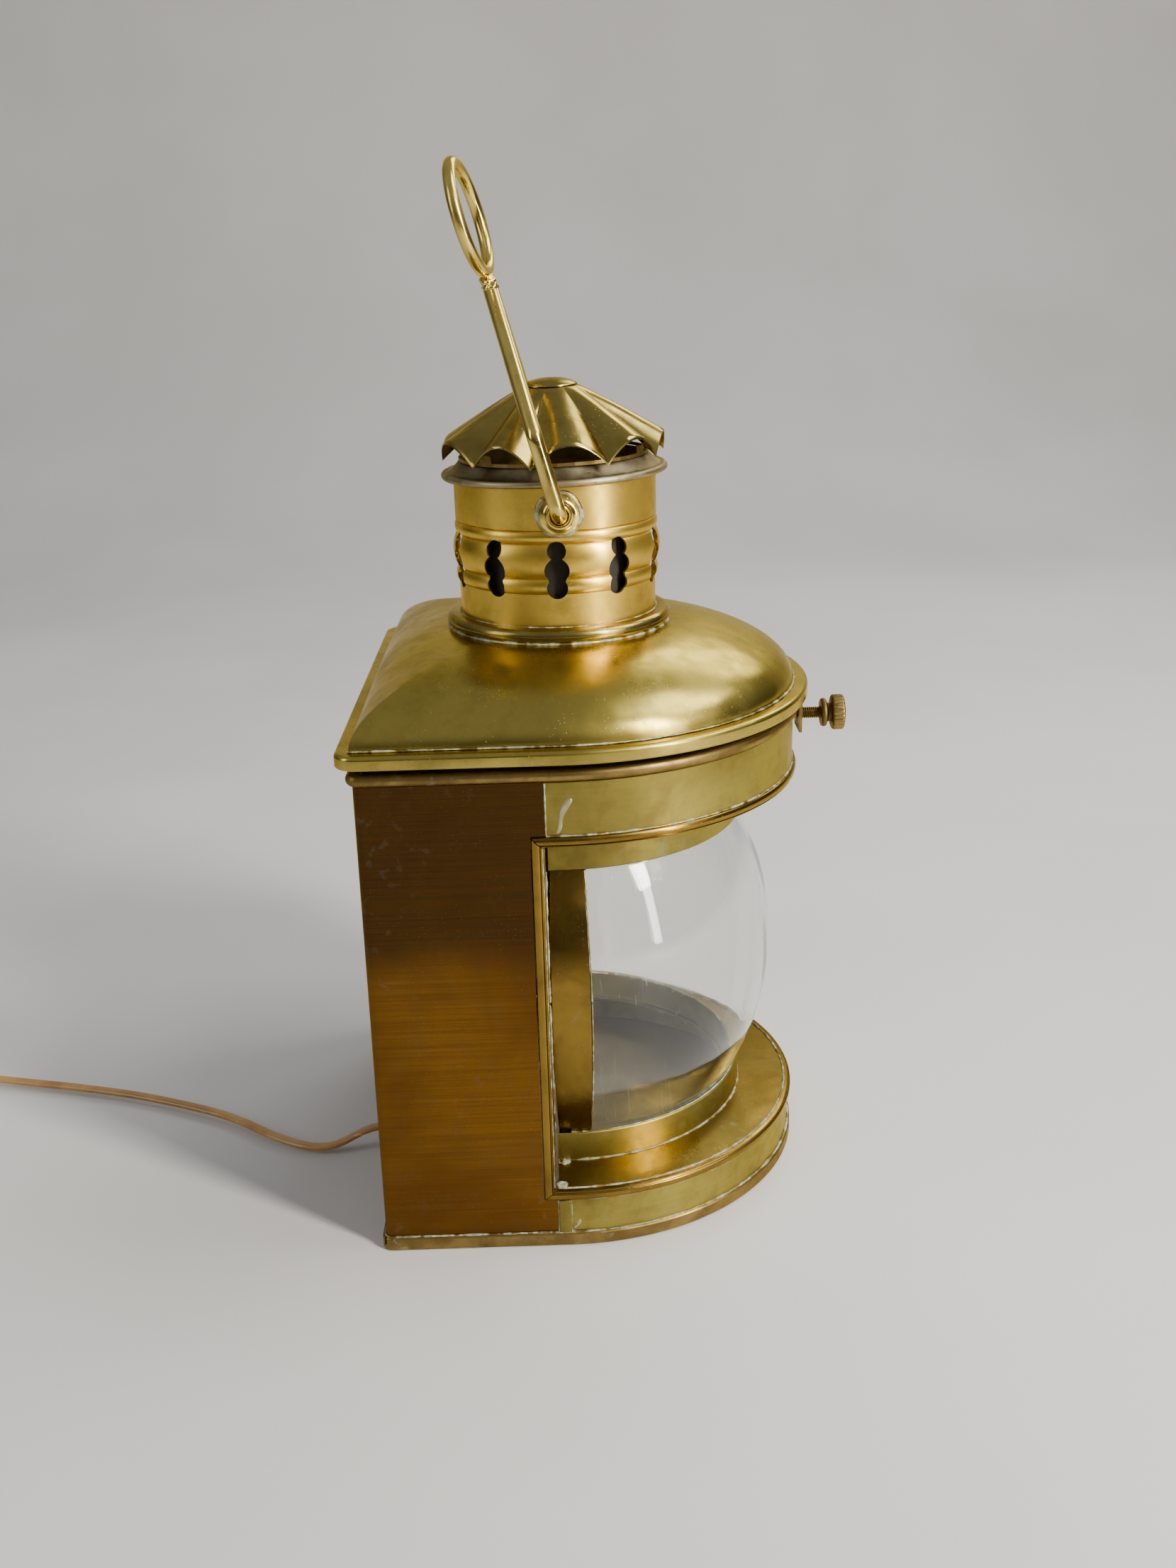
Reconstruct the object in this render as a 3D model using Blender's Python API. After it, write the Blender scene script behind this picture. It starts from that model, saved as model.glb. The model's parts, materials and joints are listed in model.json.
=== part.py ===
"""Electric ship lantern: D-plan brass case, hinged cushion roof with chimney and bail.

Frame: +Z up, the curved glazed front faces -Y, the flat back faces +Y, width along X.
The origin is on the centre of the front curve, at the underside of the base plate.
"""

import math

import bmesh
import bpy
from mathutils import Matrix, Vector

MM = 0.001
GAP = 0.3 * MM

# Case plan: a half circle in front, joined to a rectangle behind.
HALF_WIDTH = 112.0 * MM
BACK_Y = 86.0 * MM
SHEET = 1.2 * MM
CORNER_RADIUS = 3.5 * MM
MIN_CORNER_RADIUS = 0.4 * MM
CORNER_STEPS = 3
ARC_STEPS = 24

# Heights of the case.
BASE_FLOOR_Z = 1.5 * MM
BASE_LIP_Z = 6.0 * MM
BASE_LIP_OUT = 1.6 * MM
LOWER_BAND_TOP = 23.0 * MM
UPPER_BAND_BOTTOM = 200.0 * MM
UPPER_BAND_TOP = 223.7 * MM
RIM_BEAD_Z = 226.9 * MM
RIM_BEAD_RADIUS = 2.9 * MM

# Window in the front of the case.
SEAM_Y = 6.0 * MM
WINDOW_BACK_Y = 12.8 * MM
BEAD_HEIGHT = 4.7 * MM
BEAD_OUT = 1.8 * MM
SILL_Z = 26.6 * MM
HEADER_Z = 195.0 * MM
SEAT_RADIUS = 86.7 * MM
SEAT_SHEET = 1.2 * MM
LOWER_SEAT_TOP = 42.0 * MM
UPPER_SEAT_BOTTOM = 174.0 * MM
PLATE_INNER_RADIUS = 81.0 * MM
STRAP_WIDTH = 5.5 * MM

# Barrel-shaped glass and the brass cheeks beside it.
GLASS_NECK_RADIUS = 85.2 * MM
GLASS_BULGE = 16.5 * MM
GLASS_WALL = 2.6 * MM
GLASS_EDGE_DEG = 6.7
CHEEK_FRONT_DEG = 6.3
CHEEK_BACK_DEG = 3.6
REVEAL_Y = 7.3 * MM
REVEAL_SHEET = 1.0 * MM
BARREL_STEPS = 8

# Roof.
ROOF_OVERHANG = 6.7 * MM
ROOF_LIP_BOTTOM = 233.0 * MM
ROOF_TOP = 239.0 * MM
DOME_TOP = 267.0 * MM
DOME_TOP_RADIUS = 50.0 * MM
DOME_STEPS = 5

# Chimney.
CHIMNEY_Y = -1.8 * MM
COLLAR_RADIUS = 46.4 * MM
COLLAR_FOOT_RADIUS = 45.6 * MM
COLLAR_BOTTOM = 263.0 * MM
COLLAR_TOP = 336.2 * MM
BASE_RING_RADIUS = 52.4 * MM
CHIMNEY_AXIS = (0.0, CHIMNEY_Y)
VENT_COUNT = 10
VENT_CIRCLES = ((307.9 * MM, 4.2 * MM), (299.2 * MM, 5.6 * MM), (291.2 * MM, 4.7 * MM))
COLLAR_RIBS = ((288.5 * MM, 295.5 * MM, 1.3 * MM), (295.5 * MM, 311.0 * MM, 2.3 * MM),
               (311.0 * MM, 316.5 * MM, 1.3 * MM))
CAP_RADIUS = 50.8 * MM
CAP_CROWN_RADIUS = 12.0 * MM
CAP_TIP_Z = 344.6 * MM
CAP_ARCH = 9.5 * MM
CAP_TOP_Z = 375.0 * MM
CAP_SHEET = 1.3 * MM
CAP_TIPS_DEG = (2.5, 46.3, 90.0, 136.5, 168.6, 208.0, 244.0, 275.0, 318.7)
CAP_LEG_TIPS = (0, 3, 6)
CROWN_TILT_DEG = 1.2

# Bail.
EYELET_Z = 324.0 * MM
BAIL_LEAN_DEG = 15.4
BAIL_ROD_RADIUS = 3.5 * MM
BAIL_HALF_SPAN = 58.0 * MM
BAIL_APEX = 96.0 * MM
BAIL_TWIST_DEG = 2.0
RING_TURN_DEG = -10.0
BAIL_RING_RADIUS = 23.5 * MM
BAIL_RING_ROD = 3.0 * MM

# Roof hinge, under the roof lip at the back.
HINGE_Y = 90.1 * MM
HINGE_Z = 230.5 * MM
KNUCKLE_RADIUS = 2.3 * MM
HINGE_PIN_RADIUS = 1.1 * MM
LEAF_SHEET = 1.1 * MM
LEAF_BOTTOM = 200.0 * MM
HINGE_HALF_WIDTH = 30.0 * MM
LID_KNUCKLE_HALF = 12.0 * MM

# Lock screw, M6 with 1 mm pitch, on the front centre line.
SCREW_Z = 217.5 * MM
SCREW_RADIUS = 2.9 * MM
SCREW_HOLE_RADIUS = 3.3 * MM
SCREW_TIP_Y = -114.7 * MM
WASHER_Y = -126.5 * MM
WASHER_THICK = 2.7 * MM
WASHER_RADIUS = 6.9 * MM
HEAD_Y = -131.5 * MM
HEAD_LENGTH = 6.1 * MM
HEAD_RADIUS = 8.5 * MM
LUG_Y = -116.6 * MM
LUG_THICK = 1.4 * MM

# Lamp inside, standing in the rectangular back half.
LAMP_Y = 40.0 * MM

# Mains flex.
CORD_RADIUS = 2.6 * MM
CORD_EXIT_X = -26.0 * MM
CORD_EXIT_Z = 13.5 * MM
COIL_RADIUS = 31.0 * MM
COIL_BUNDLE_RADIUS = 9.5 * MM
COIL_X = 100.0 * MM
COIL_Y = 395.0 * MM
COIL_Z = 10.9 * MM
PLUG_X = 134.5 * MM
PLUG_Y = 439.0 * MM
PLUG_Z = 8.0 * MM

for item in list(bpy.data.objects):
    bpy.data.objects.remove(item, do_unlink=True)


def material(name, colour, roughness, metallic):
    """A named Principled surface."""
    mat = bpy.data.materials.new(name)
    mat.use_nodes = True
    shader = mat.node_tree.nodes["Principled BSDF"]
    shader.inputs["Base Color"].default_value = (*colour, 1.0)
    shader.inputs["Roughness"].default_value = roughness
    shader.inputs["Metallic"].default_value = metallic
    return mat


def empty(name, location, parent=None):
    """An axis marker that moving pieces hang from."""
    marker = bpy.data.objects.new(name, None)
    marker.location = location
    marker.empty_display_size = 0.02
    marker.parent = parent
    bpy.context.scene.collection.objects.link(marker)
    if parent:
        bpy.context.view_layer.update()
        marker.matrix_parent_inverse = parent.matrix_world.inverted()
    bpy.context.view_layer.update()
    return marker


def add_object(name, bm, colour, roughness=0.35, metallic=1.0, parent=None):
    """Turn a bmesh into a named, shaded object, hung from its axis when it moves."""
    bmesh.ops.recalc_face_normals(bm, faces=bm.faces)
    mesh = bpy.data.meshes.new(name)
    bm.to_mesh(mesh)
    bm.free()
    mesh.shade_smooth()
    mesh.set_sharp_from_angle(angle=math.radians(32.0))
    mesh.materials.append(material(name + "_finish", colour, roughness, metallic))
    obj = bpy.data.objects.new(name, mesh)
    bpy.context.scene.collection.objects.link(obj)
    if parent:
        obj.parent = parent
        obj.matrix_parent_inverse = parent.matrix_world.inverted()
    return obj


def loft(rings, wrap=False):
    """Skin closed rings of equal length; wrapped into a loop, or capped at both ends."""
    bm = bmesh.new()
    grid = [[bm.verts.new(point) for point in ring] for ring in rings]
    count = len(grid[0])
    pairs = list(zip(grid, grid[1:]))
    if wrap:
        pairs.append((grid[-1], grid[0]))
    for low, high in pairs:
        for i in range(count):
            j = (i + 1) % count
            bm.faces.new((low[i], low[j], high[j], high[i]))
    if not wrap:
        bm.faces.new(grid[0][::-1])
        bm.faces.new(grid[-1])
    return bm


def plan_outline(offset, z):
    """The D plan of the case, moved outward by offset, as points at height z."""
    wide = HALF_WIDTH + offset
    back = BACK_Y + offset
    radius = max(CORNER_RADIUS + offset, MIN_CORNER_RADIUS)
    points = []
    for k in range(CORNER_STEPS + 1):
        a = math.radians(90.0 + 90.0 * k / CORNER_STEPS)
        points.append(Vector((-wide + radius + radius * math.cos(a), back - radius + radius * math.sin(a), z)))
    for k in range(ARC_STEPS + 1):
        a = math.pi + math.pi * k / ARC_STEPS
        points.append(Vector((wide * math.cos(a), wide * math.sin(a), z)))
    for k in range(CORNER_STEPS + 1):
        a = math.radians(90.0 * k / CORNER_STEPS)
        points.append(Vector((wide - radius + radius * math.cos(a), back - radius + radius * math.sin(a), z)))
    return points


def plan_ring(section):
    """A closed moulding that follows the whole D plan; section holds (offset, height) pairs."""
    return loft([plan_outline(offset, z) for offset, z in section], wrap=True)


def front_strip(section, end_y):
    """A moulding round the half-circle front, with straight ends up to end_y."""
    rings = [[Vector((-HALF_WIDTH - offset, end_y, z)) for offset, z in section]]
    for k in range(ARC_STEPS + 1):
        a = math.pi + math.pi * k / ARC_STEPS
        rings.append([Vector(((HALF_WIDTH + offset) * math.cos(a), (HALF_WIDTH + offset) * math.sin(a), z))
                      for offset, z in section])
    rings.append([Vector((HALF_WIDTH + offset, end_y, z)) for offset, z in section])
    return loft(rings)


def rectangle(low, high, bottom, top):
    """Four (offset, height) corners of a flat strip section."""
    return [(low, bottom), (high, bottom), (high, top), (low, top)]


def half_round(middle, height, out):
    """Section of a half-round moulding with a flat back on the inside of the sheet."""
    section = [(-SHEET, middle - height / 2), (-SHEET, middle + height / 2)]
    for k in range(5):
        a = math.radians(90.0 - 45.0 * k)
        section.append((out * math.cos(a), middle + height / 2 * math.sin(a)))
    return section


def revolve(profile, steps, centre=(0.0, 0.0), start_deg=0.0, end_deg=360.0):
    """Turn a closed (radius, height) profile about the vertical through centre."""
    full = end_deg - start_deg >= 360.0
    stations = steps if full else steps + 1
    rings = []
    for k in range(stations):
        a = math.radians(start_deg + (end_deg - start_deg) * k / steps)
        rings.append([Vector((centre[0] + r * math.cos(a), centre[1] + r * math.sin(a), z)) for r, z in profile])
    return loft(rings, wrap=full)


def turned_along_y(profile, steps, x, z):
    """Turn a closed (radius, y) profile about an axis parallel to Y."""
    rings = []
    for k in range(steps):
        a = 2.0 * math.pi * k / steps
        rings.append([Vector((x + r * math.cos(a), y, z + r * math.sin(a))) for r, y in profile])
    return loft(rings, wrap=True)


def turned_along_x(profile, steps, y, z):
    """Turn a closed (radius, x) profile about an axis parallel to X."""
    rings = []
    for k in range(steps):
        a = 2.0 * math.pi * k / steps
        rings.append([Vector((x, y + r * math.cos(a), z + r * math.sin(a))) for r, x in profile])
    return loft(rings, wrap=True)


def solid_along_y(stations, steps, x, z):
    """A solid turned part with its axis parallel to Y; stations holds (radius, y) pairs."""
    rings = []
    for r, y in stations:
        rings.append([Vector((x + r * math.cos(2.0 * math.pi * k / steps), y,
                              z + r * math.sin(2.0 * math.pi * k / steps))) for k in range(steps)])
    return loft(rings)


def solid_along_x(stations, steps, y, z):
    """A solid turned part with its axis parallel to X; stations holds (radius, x) pairs."""
    rings = []
    for r, x in stations:
        rings.append([Vector((x, y + r * math.cos(2.0 * math.pi * k / steps),
                              z + r * math.sin(2.0 * math.pi * k / steps))) for k in range(steps)])
    return loft(rings)


def solid_upright(stations, steps, centre):
    """A solid turned part standing upright; stations holds (radius, z) pairs."""
    rings = []
    for r, z in stations:
        rings.append([Vector((centre[0] + r * math.cos(2.0 * math.pi * k / steps),
                              centre[1] + r * math.sin(2.0 * math.pi * k / steps), z)) for k in range(steps)])
    return loft(rings)


def extrude_x(outline, x_low, x_high):
    """A prism along X from (y, z) points."""
    return loft([[Vector((x, y, z)) for y, z in outline] for x in (x_low, x_high)])


def extrude_y(outline, y_low, y_high):
    """A prism along Y from (x, z) points."""
    return loft([[Vector((x, y, z)) for x, z in outline] for y in (y_low, y_high)])


def box(x_low, x_high, y_low, y_high, z_low, z_high):
    """A rectangular block."""
    return extrude_x([(y_low, z_low), (y_high, z_low), (y_high, z_high), (y_low, z_high)], x_low, x_high)


def cut(obj, name, bm):
    """Subtract a hidden cutter from an object."""
    cutter = add_object(name, bm, (0.5, 0.5, 0.5))
    cutter.hide_render = True
    cutter.display_type = "WIRE"
    modifier = obj.modifiers.new(name, "BOOLEAN")
    modifier.operation = "DIFFERENCE"
    modifier.solver = "EXACT"
    modifier.object = cutter


def barrel_radius(z):
    """Outer radius of the glass at height z: a straight neck inside each seat, a bulge between."""
    t = (z - LOWER_SEAT_TOP - MM) / (UPPER_SEAT_BOTTOM - LOWER_SEAT_TOP - 2.0 * MM)
    t = min(max(t, 0.0), 1.0)
    return GLASS_NECK_RADIUS + GLASS_BULGE * (1.0 - abs(2.0 * t - 1.0) ** 2.2)


def barrel_heights():
    """Heights at which the barrel is sampled, closer together near its ends."""
    low = LOWER_SEAT_TOP + MM
    high = UPPER_SEAT_BOTTOM - MM
    shares = [(1.0 - math.cos(math.pi * k / BARREL_STEPS)) / 2.0 for k in range(BARREL_STEPS + 1)]
    inner = [low + (high - low) * share for share in shares]
    return [SILL_Z + SHEET + GAP] + inner + [HEADER_Z - GAP]


def barrel_shell(wall):
    """Closed (radius, height) section of a shell whose outside is the barrel."""
    heights = barrel_heights()
    outside = [(barrel_radius(z), z) for z in heights]
    return outside + [(barrel_radius(z) - wall, z) for z in reversed(heights)]


BRASS = (0.62, 0.44, 0.17)
BRASS_DARK = (0.42, 0.31, 0.14)
BRASS_OLIVE = (0.50, 0.43, 0.22)
BRASS_DULL = (0.36, 0.31, 0.22)

lid_axis = empty("lid_axis", (0.0, HINGE_Y, HINGE_Z))
bail_axis = empty("bail_axis", (0.0, CHIMNEY_Y, EYELET_Z), lid_axis)
bail_axis.rotation_euler = (math.radians(-BAIL_LEAN_DEG), 0.0, math.radians(BAIL_TWIST_DEG))
screw_axis = empty("screw_axis", (0.0, WASHER_Y, SCREW_Z), lid_axis)
bpy.context.view_layer.update()

# ---- fixed case -------------------------------------------------------------

base = add_object("base_plate", loft([
    plan_outline(BASE_LIP_OUT, 0.0),
    plan_outline(BASE_LIP_OUT, BASE_LIP_Z),
    plan_outline(GAP, BASE_LIP_Z),
    plan_outline(GAP, BASE_FLOOR_Z),
]), BRASS_DARK, 0.42)
for side in (-1.0, 1.0):
    # The lip is folded up and left open at the back corners.
    corner = Vector((side * HALF_WIDTH, BACK_Y, 0.0))
    along = Vector((side, 1.0, 0.0)).normalized()
    across = Vector((-along.y, along.x, 0.0)) * 0.5 * MM
    reach = (along * 1.2 * MM, along * -3.2 * MM)
    foot = [corner - reach[0] * -4.0 + across, corner - reach[0] * -4.0 - across,
            corner + reach[1] - across, corner + reach[1] + across]
    levels = (BASE_FLOOR_Z + 0.8 * MM, BASE_LIP_Z + 2.0 * MM)
    cut(base, "lip_mitre_" + ("left" if side < 0 else "right"),
        loft([[Vector((p.x, p.y, z)) for p in foot] for z in levels]))

shell_low = BASE_FLOOR_Z + GAP
shell_outline = [plan_outline(offset, 0.0) for offset in (0.0, -SHEET)]
first = CORNER_STEPS + 1 + ARC_STEPS + 1
order = list(range(first, first + CORNER_STEPS + 1)) + list(range(CORNER_STEPS + 1))
shell_rings = [[Vector((HALF_WIDTH - inset, SEAM_Y, z)) for inset, z in
                ((0.0, shell_low), (0.0, UPPER_BAND_TOP), (SHEET, UPPER_BAND_TOP), (SHEET, shell_low))]]
for i in order:
    outer = shell_outline[0][i]
    inner = shell_outline[1][i]
    shell_rings.append([Vector((outer.x, outer.y, shell_low)), Vector((outer.x, outer.y, UPPER_BAND_TOP)),
                        Vector((inner.x, inner.y, UPPER_BAND_TOP)), Vector((inner.x, inner.y, shell_low))])
shell_rings.append([Vector((-point.x, point.y, point.z)) for point in shell_rings[0]])
back_shell = add_object("back_shell", loft(shell_rings), BRASS, 0.3)
cut(back_shell, "window_notch", box(-HALF_WIDTH - 10.0 * MM, HALF_WIDTH + 10.0 * MM, 0.0, WINDOW_BACK_Y,
                                    LOWER_BAND_TOP + GAP, UPPER_BAND_BOTTOM - GAP))
cut(back_shell, "cord_hole", solid_along_y(((4.6 * MM, BACK_Y - 6.0 * MM), (4.6 * MM, BACK_Y + 6.0 * MM)), 24,
                                           CORD_EXIT_X, CORD_EXIT_Z))

add_object("lower_band", front_strip(rectangle(-SHEET, 0.0, shell_low, LOWER_BAND_TOP), SEAM_Y - GAP), BRASS)
upper_band = add_object("upper_band", front_strip(
    rectangle(-SHEET, 0.0, UPPER_BAND_BOTTOM, UPPER_BAND_TOP), SEAM_Y - GAP), BRASS)
cut(upper_band, "band_screw_hole", solid_along_y(
    ((SCREW_HOLE_RADIUS, -HALF_WIDTH - 5.0 * MM), (SCREW_HOLE_RADIUS, -HALF_WIDTH + 5.0 * MM)), 24, 0.0, SCREW_Z))

for side, tag in ((-1.0, "left"), (1.0, "right")):
    x_pair = sorted((side * (HALF_WIDTH + GAP), side * (HALF_WIDTH + 1.1 * MM)))
    add_object("strap_lower_" + tag, box(*x_pair, SEAM_Y - STRAP_WIDTH, SEAM_Y, BASE_LIP_Z + GAP,
                                         LOWER_BAND_TOP), BRASS_OLIVE, 0.45)
    x_pair = sorted((side * (HALF_WIDTH - SHEET), side * (HALF_WIDTH + BEAD_OUT)))
    low_z = LOWER_BAND_TOP + GAP + BEAD_HEIGHT + GAP
    high_z = UPPER_BAND_BOTTOM - GAP - BEAD_HEIGHT - GAP
    middle_y = WINDOW_BACK_Y - GAP - BEAD_HEIGHT / 2
    outline = [(side * (HALF_WIDTH + offset), y) for offset, y in half_round(middle_y, BEAD_HEIGHT, BEAD_OUT)]
    add_object("side_bead_" + tag, loft([[Vector((x, y, z)) for x, y in outline] for z in (low_z, high_z)]), BRASS)

    edge = [(side * (barrel_radius(z) - 1.5 * MM), z) for z in barrel_heights()]
    wall_x = side * (HALF_WIDTH - SHEET - GAP)
    edge += [(wall_x, HEADER_Z - GAP), (wall_x, SILL_Z + SHEET + GAP)]
    add_object("reveal_" + tag, extrude_y(edge, REVEAL_Y, REVEAL_Y + REVEAL_SHEET), BRASS_OLIVE, 0.4)

    if side < 0:
        span = (180.0 - CHEEK_BACK_DEG, 180.0 + CHEEK_FRONT_DEG)
    else:
        span = (360.0 - CHEEK_FRONT_DEG, 360.0 + CHEEK_BACK_DEG)
    add_object("cheek_" + tag, revolve(barrel_shell(SHEET), 3, (0.0, 0.0), *span), BRASS, 0.3)

lower_bead_z = LOWER_BAND_TOP + GAP + BEAD_HEIGHT / 2
upper_bead_z = UPPER_BAND_BOTTOM - GAP - BEAD_HEIGHT / 2
add_object("lower_bead", front_strip(half_round(lower_bead_z, BEAD_HEIGHT, BEAD_OUT), WINDOW_BACK_Y - GAP), BRASS)
add_object("upper_bead", front_strip(half_round(upper_bead_z, BEAD_HEIGHT, BEAD_OUT), WINDOW_BACK_Y - GAP), BRASS)

plate_span = (PLATE_INNER_RADIUS - HALF_WIDTH, -SHEET - GAP)
add_object("sill_plate", front_strip(rectangle(*plate_span, SILL_Z, SILL_Z + SHEET), SEAM_Y), BRASS_OLIVE, 0.4)
add_object("header_plate", front_strip(rectangle(*plate_span, HEADER_Z, HEADER_Z + SHEET), SEAM_Y), BRASS_OLIVE, 0.4)
seat_span = (SEAT_RADIUS - SEAT_SHEET - HALF_WIDTH, SEAT_RADIUS - HALF_WIDTH)
add_object("lower_seat", front_strip(rectangle(*seat_span, SILL_Z + SHEET + GAP, LOWER_SEAT_TOP), SEAM_Y), BRASS)
add_object("upper_seat", front_strip(rectangle(*seat_span, UPPER_SEAT_BOTTOM, HEADER_Z - GAP), SEAM_Y), BRASS)
add_object("lens_glass", revolve(barrel_shell(GLASS_WALL), 22, (0.0, 0.0), 180.0 + GLASS_EDGE_DEG,
                                 360.0 - GLASS_EDGE_DEG), (0.9, 0.93, 0.9), 0.05, 0.0)

rim_section = [(RIM_BEAD_RADIUS * math.cos(math.radians(45.0 * k + 22.5)) - 0.2 * MM,
                RIM_BEAD_Z + RIM_BEAD_RADIUS * math.sin(math.radians(45.0 * k + 22.5))) for k in range(8)]
add_object("case_rim", plan_ring(rim_section), BRASS, 0.35)

keeper = add_object("lock_keeper", box(-9.0 * MM, 9.0 * MM, -109.9 * MM, -106.9 * MM, SCREW_Z - 8.0 * MM,
                                       SCREW_Z + 6.0 * MM), BRASS_DARK)
cut(keeper, "keeper_hole", solid_along_y(((SCREW_HOLE_RADIUS, -115.0 * MM), (SCREW_HOLE_RADIUS, -100.0 * MM)), 24,
                                         0.0, SCREW_Z))

# ---- roof hinge -------------------------------------------------------------


def knuckle_arc(start_deg, turns):
    """Points round a hinge knuckle, 22.5 degrees apart."""
    points = []
    for k in range(turns + 1):
        a = math.radians(start_deg + 22.5 * k)
        points.append((HINGE_Y + KNUCKLE_RADIUS * math.cos(a), HINGE_Z + KNUCKLE_RADIUS * math.sin(a)))
    return points


def pin_bore():
    """Cutter for the hinge pin's hole."""
    bore = HINGE_PIN_RADIUS + 0.2 * MM
    return solid_along_x(((bore, -40.0 * MM), (bore, 40.0 * MM)), 16,
                         HINGE_Y, HINGE_Z)


# The case leaf runs up the back wall, steps out round the rolled rim and ends in two knuckles.
leaf_back = BACK_Y + GAP
leaf_front = leaf_back + LEAF_SHEET
bead_back = BACK_Y + RIM_BEAD_RADIUS - 0.2 * MM + 0.4 * MM
bead_low = RIM_BEAD_Z - RIM_BEAD_RADIUS
case_leaf_outline = knuckle_arc(292.5, 14) + [
    (bead_back, bead_low - 0.6 * MM), (leaf_back, bead_low - 1.4 * MM), (leaf_back, LEAF_BOTTOM),
    (leaf_front, LEAF_BOTTOM), (leaf_front, bead_low - 2.4 * MM), (bead_back + 1.2 * MM, bead_low - 1.4 * MM),
    (bead_back + 1.2 * MM, HINGE_Z - 3.0 * MM)]
case_leaf = add_object("hinge_leaf_case", extrude_x(case_leaf_outline, -HINGE_HALF_WIDTH, HINGE_HALF_WIDTH),
                       BRASS_DARK, 0.45)
cut(case_leaf, "case_pin_bore", pin_bore())
cut(case_leaf, "knuckle_gap", box(-LID_KNUCKLE_HALF - GAP, LID_KNUCKLE_HALF + GAP, leaf_front + 0.1 * MM,
                                  HINGE_Y + 10.0 * MM, bead_low - 3.0 * MM, HINGE_Z + 10.0 * MM))

# The lid leaf lies under the roof flange and drops into the middle knuckle.
leaf_high = ROOF_TOP - SHEET - GAP
leaf_low = leaf_high - LEAF_SHEET
arm_front = HINGE_Y + 0.9 * MM
arm_back = HINGE_Y - 0.6 * MM
lid_leaf_outline = knuckle_arc(112.5, 14) + [
    (arm_front, leaf_high), (BACK_Y - 4.0 * MM, leaf_high), (BACK_Y - 4.0 * MM, leaf_low), (arm_back, leaf_low),
    (arm_back, HINGE_Z + KNUCKLE_RADIUS)]
lid_leaf = add_object("hinge_leaf_lid", extrude_x(lid_leaf_outline, -LID_KNUCKLE_HALF, LID_KNUCKLE_HALF),
                      BRASS_DARK, 0.45, parent=lid_axis)
cut(lid_leaf, "lid_pin_bore", pin_bore())

pin_head = HINGE_HALF_WIDTH + GAP
pin_stations = ((1.4, -1.4), (1.9, -0.9), (1.9, 0.0))
pin_rings = [(r * MM, -pin_head + x * MM) for r, x in pin_stations]
pin_rings += [(HINGE_PIN_RADIUS, -pin_head), (HINGE_PIN_RADIUS, pin_head)]
pin_rings += [(r * MM, pin_head - x * MM) for r, x in reversed(pin_stations)]
add_object("hinge_pin", solid_along_x(pin_rings, 16, HINGE_Y, HINGE_Z), BRASS_DULL, 0.4)

# ---- roof -------------------------------------------------------------------

roof_lip = 1.2 * MM
add_object("roof_flange", plan_ring([
    (ROOF_OVERHANG, ROOF_LIP_BOTTOM), (ROOF_OVERHANG, ROOF_TOP - 0.8 * MM), (ROOF_OVERHANG - 0.8 * MM, ROOF_TOP),
    (-5.0 * MM, ROOF_TOP), (-5.0 * MM, ROOF_TOP - roof_lip), (ROOF_OVERHANG - roof_lip, ROOF_TOP - roof_lip),
    (ROOF_OVERHANG - roof_lip, ROOF_LIP_BOTTOM)]), BRASS_OLIVE, 0.35, parent=lid_axis)


def polar_stations():
    """Angles round the D plan, with stations on the two back corners."""
    corner = math.atan2(BACK_Y, HALF_WIDTH)
    stations = [math.pi + math.pi * k / ARC_STEPS for k in range(ARC_STEPS)]
    stations += [corner * k / 4 for k in range(4)]
    stations += [corner + (math.pi - 2.0 * corner) * k / 8 for k in range(8)]
    stations += [math.pi - corner + corner * k / 4 for k in range(4)]
    return stations


def plan_radius(angle, offset):
    """Distance from the origin to the D plan in a direction."""
    wide = HALF_WIDTH + offset
    if math.sin(angle) <= 0.0:
        return wide
    return min(wide / max(abs(math.cos(angle)), 1e-6), (BACK_Y + offset) / max(math.sin(angle), 1e-6))


def dome_ring(share, inset):
    """One level of the cushion roof; share runs from 0 at the eaves to 1 at the top."""
    blend = 1.0 - math.cos(share * math.pi / 2.0) ** 1.15
    z = ROOF_TOP + GAP + (DOME_TOP - ROOF_TOP - GAP) * math.sin(share * math.pi / 2.0)
    ring = []
    for angle in polar_stations():
        r = (1.0 - blend) * plan_radius(angle, -inset) + blend * DOME_TOP_RADIUS
        ring.append(Vector((r * math.cos(angle), r * math.sin(angle) + blend * CHIMNEY_Y, z)))
    return ring


outer_rings = [dome_ring(k / DOME_STEPS, 0.0) for k in range(DOME_STEPS + 1)]
inner_rings = [dome_ring(k / DOME_STEPS, 1.3 * MM) for k in range(DOME_STEPS + 1)]
for ring in inner_rings[1:]:
    for point in ring:
        point.z -= SHEET
add_object("roof_dome", loft(outer_rings + inner_rings[::-1], wrap=True), BRASS_OLIVE, 0.4, parent=lid_axis)

ring_profile = [(COLLAR_RADIUS + 2.0 * MM, DOME_TOP + GAP)]
ring_middle = (BASE_RING_RADIUS - 3.2 * MM, DOME_TOP + GAP + 3.2 * MM)
ring_profile.append((ring_middle[0], DOME_TOP + GAP))
for k in range(1, 6):
    a = math.radians(-90.0 + 30.0 * k)
    ring_profile.append((ring_middle[0] + 3.2 * MM * math.cos(a), ring_middle[1] + 3.2 * MM * math.sin(a)))
ring_profile.append((COLLAR_FOOT_RADIUS + GAP, DOME_TOP + GAP + 6.4 * MM))
ring_profile.append((COLLAR_FOOT_RADIUS + GAP, DOME_TOP + GAP + 2.0 * MM))
add_object("collar_base_ring", revolve(ring_profile, 28, CHIMNEY_AXIS), BRASS, parent=lid_axis)


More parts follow.
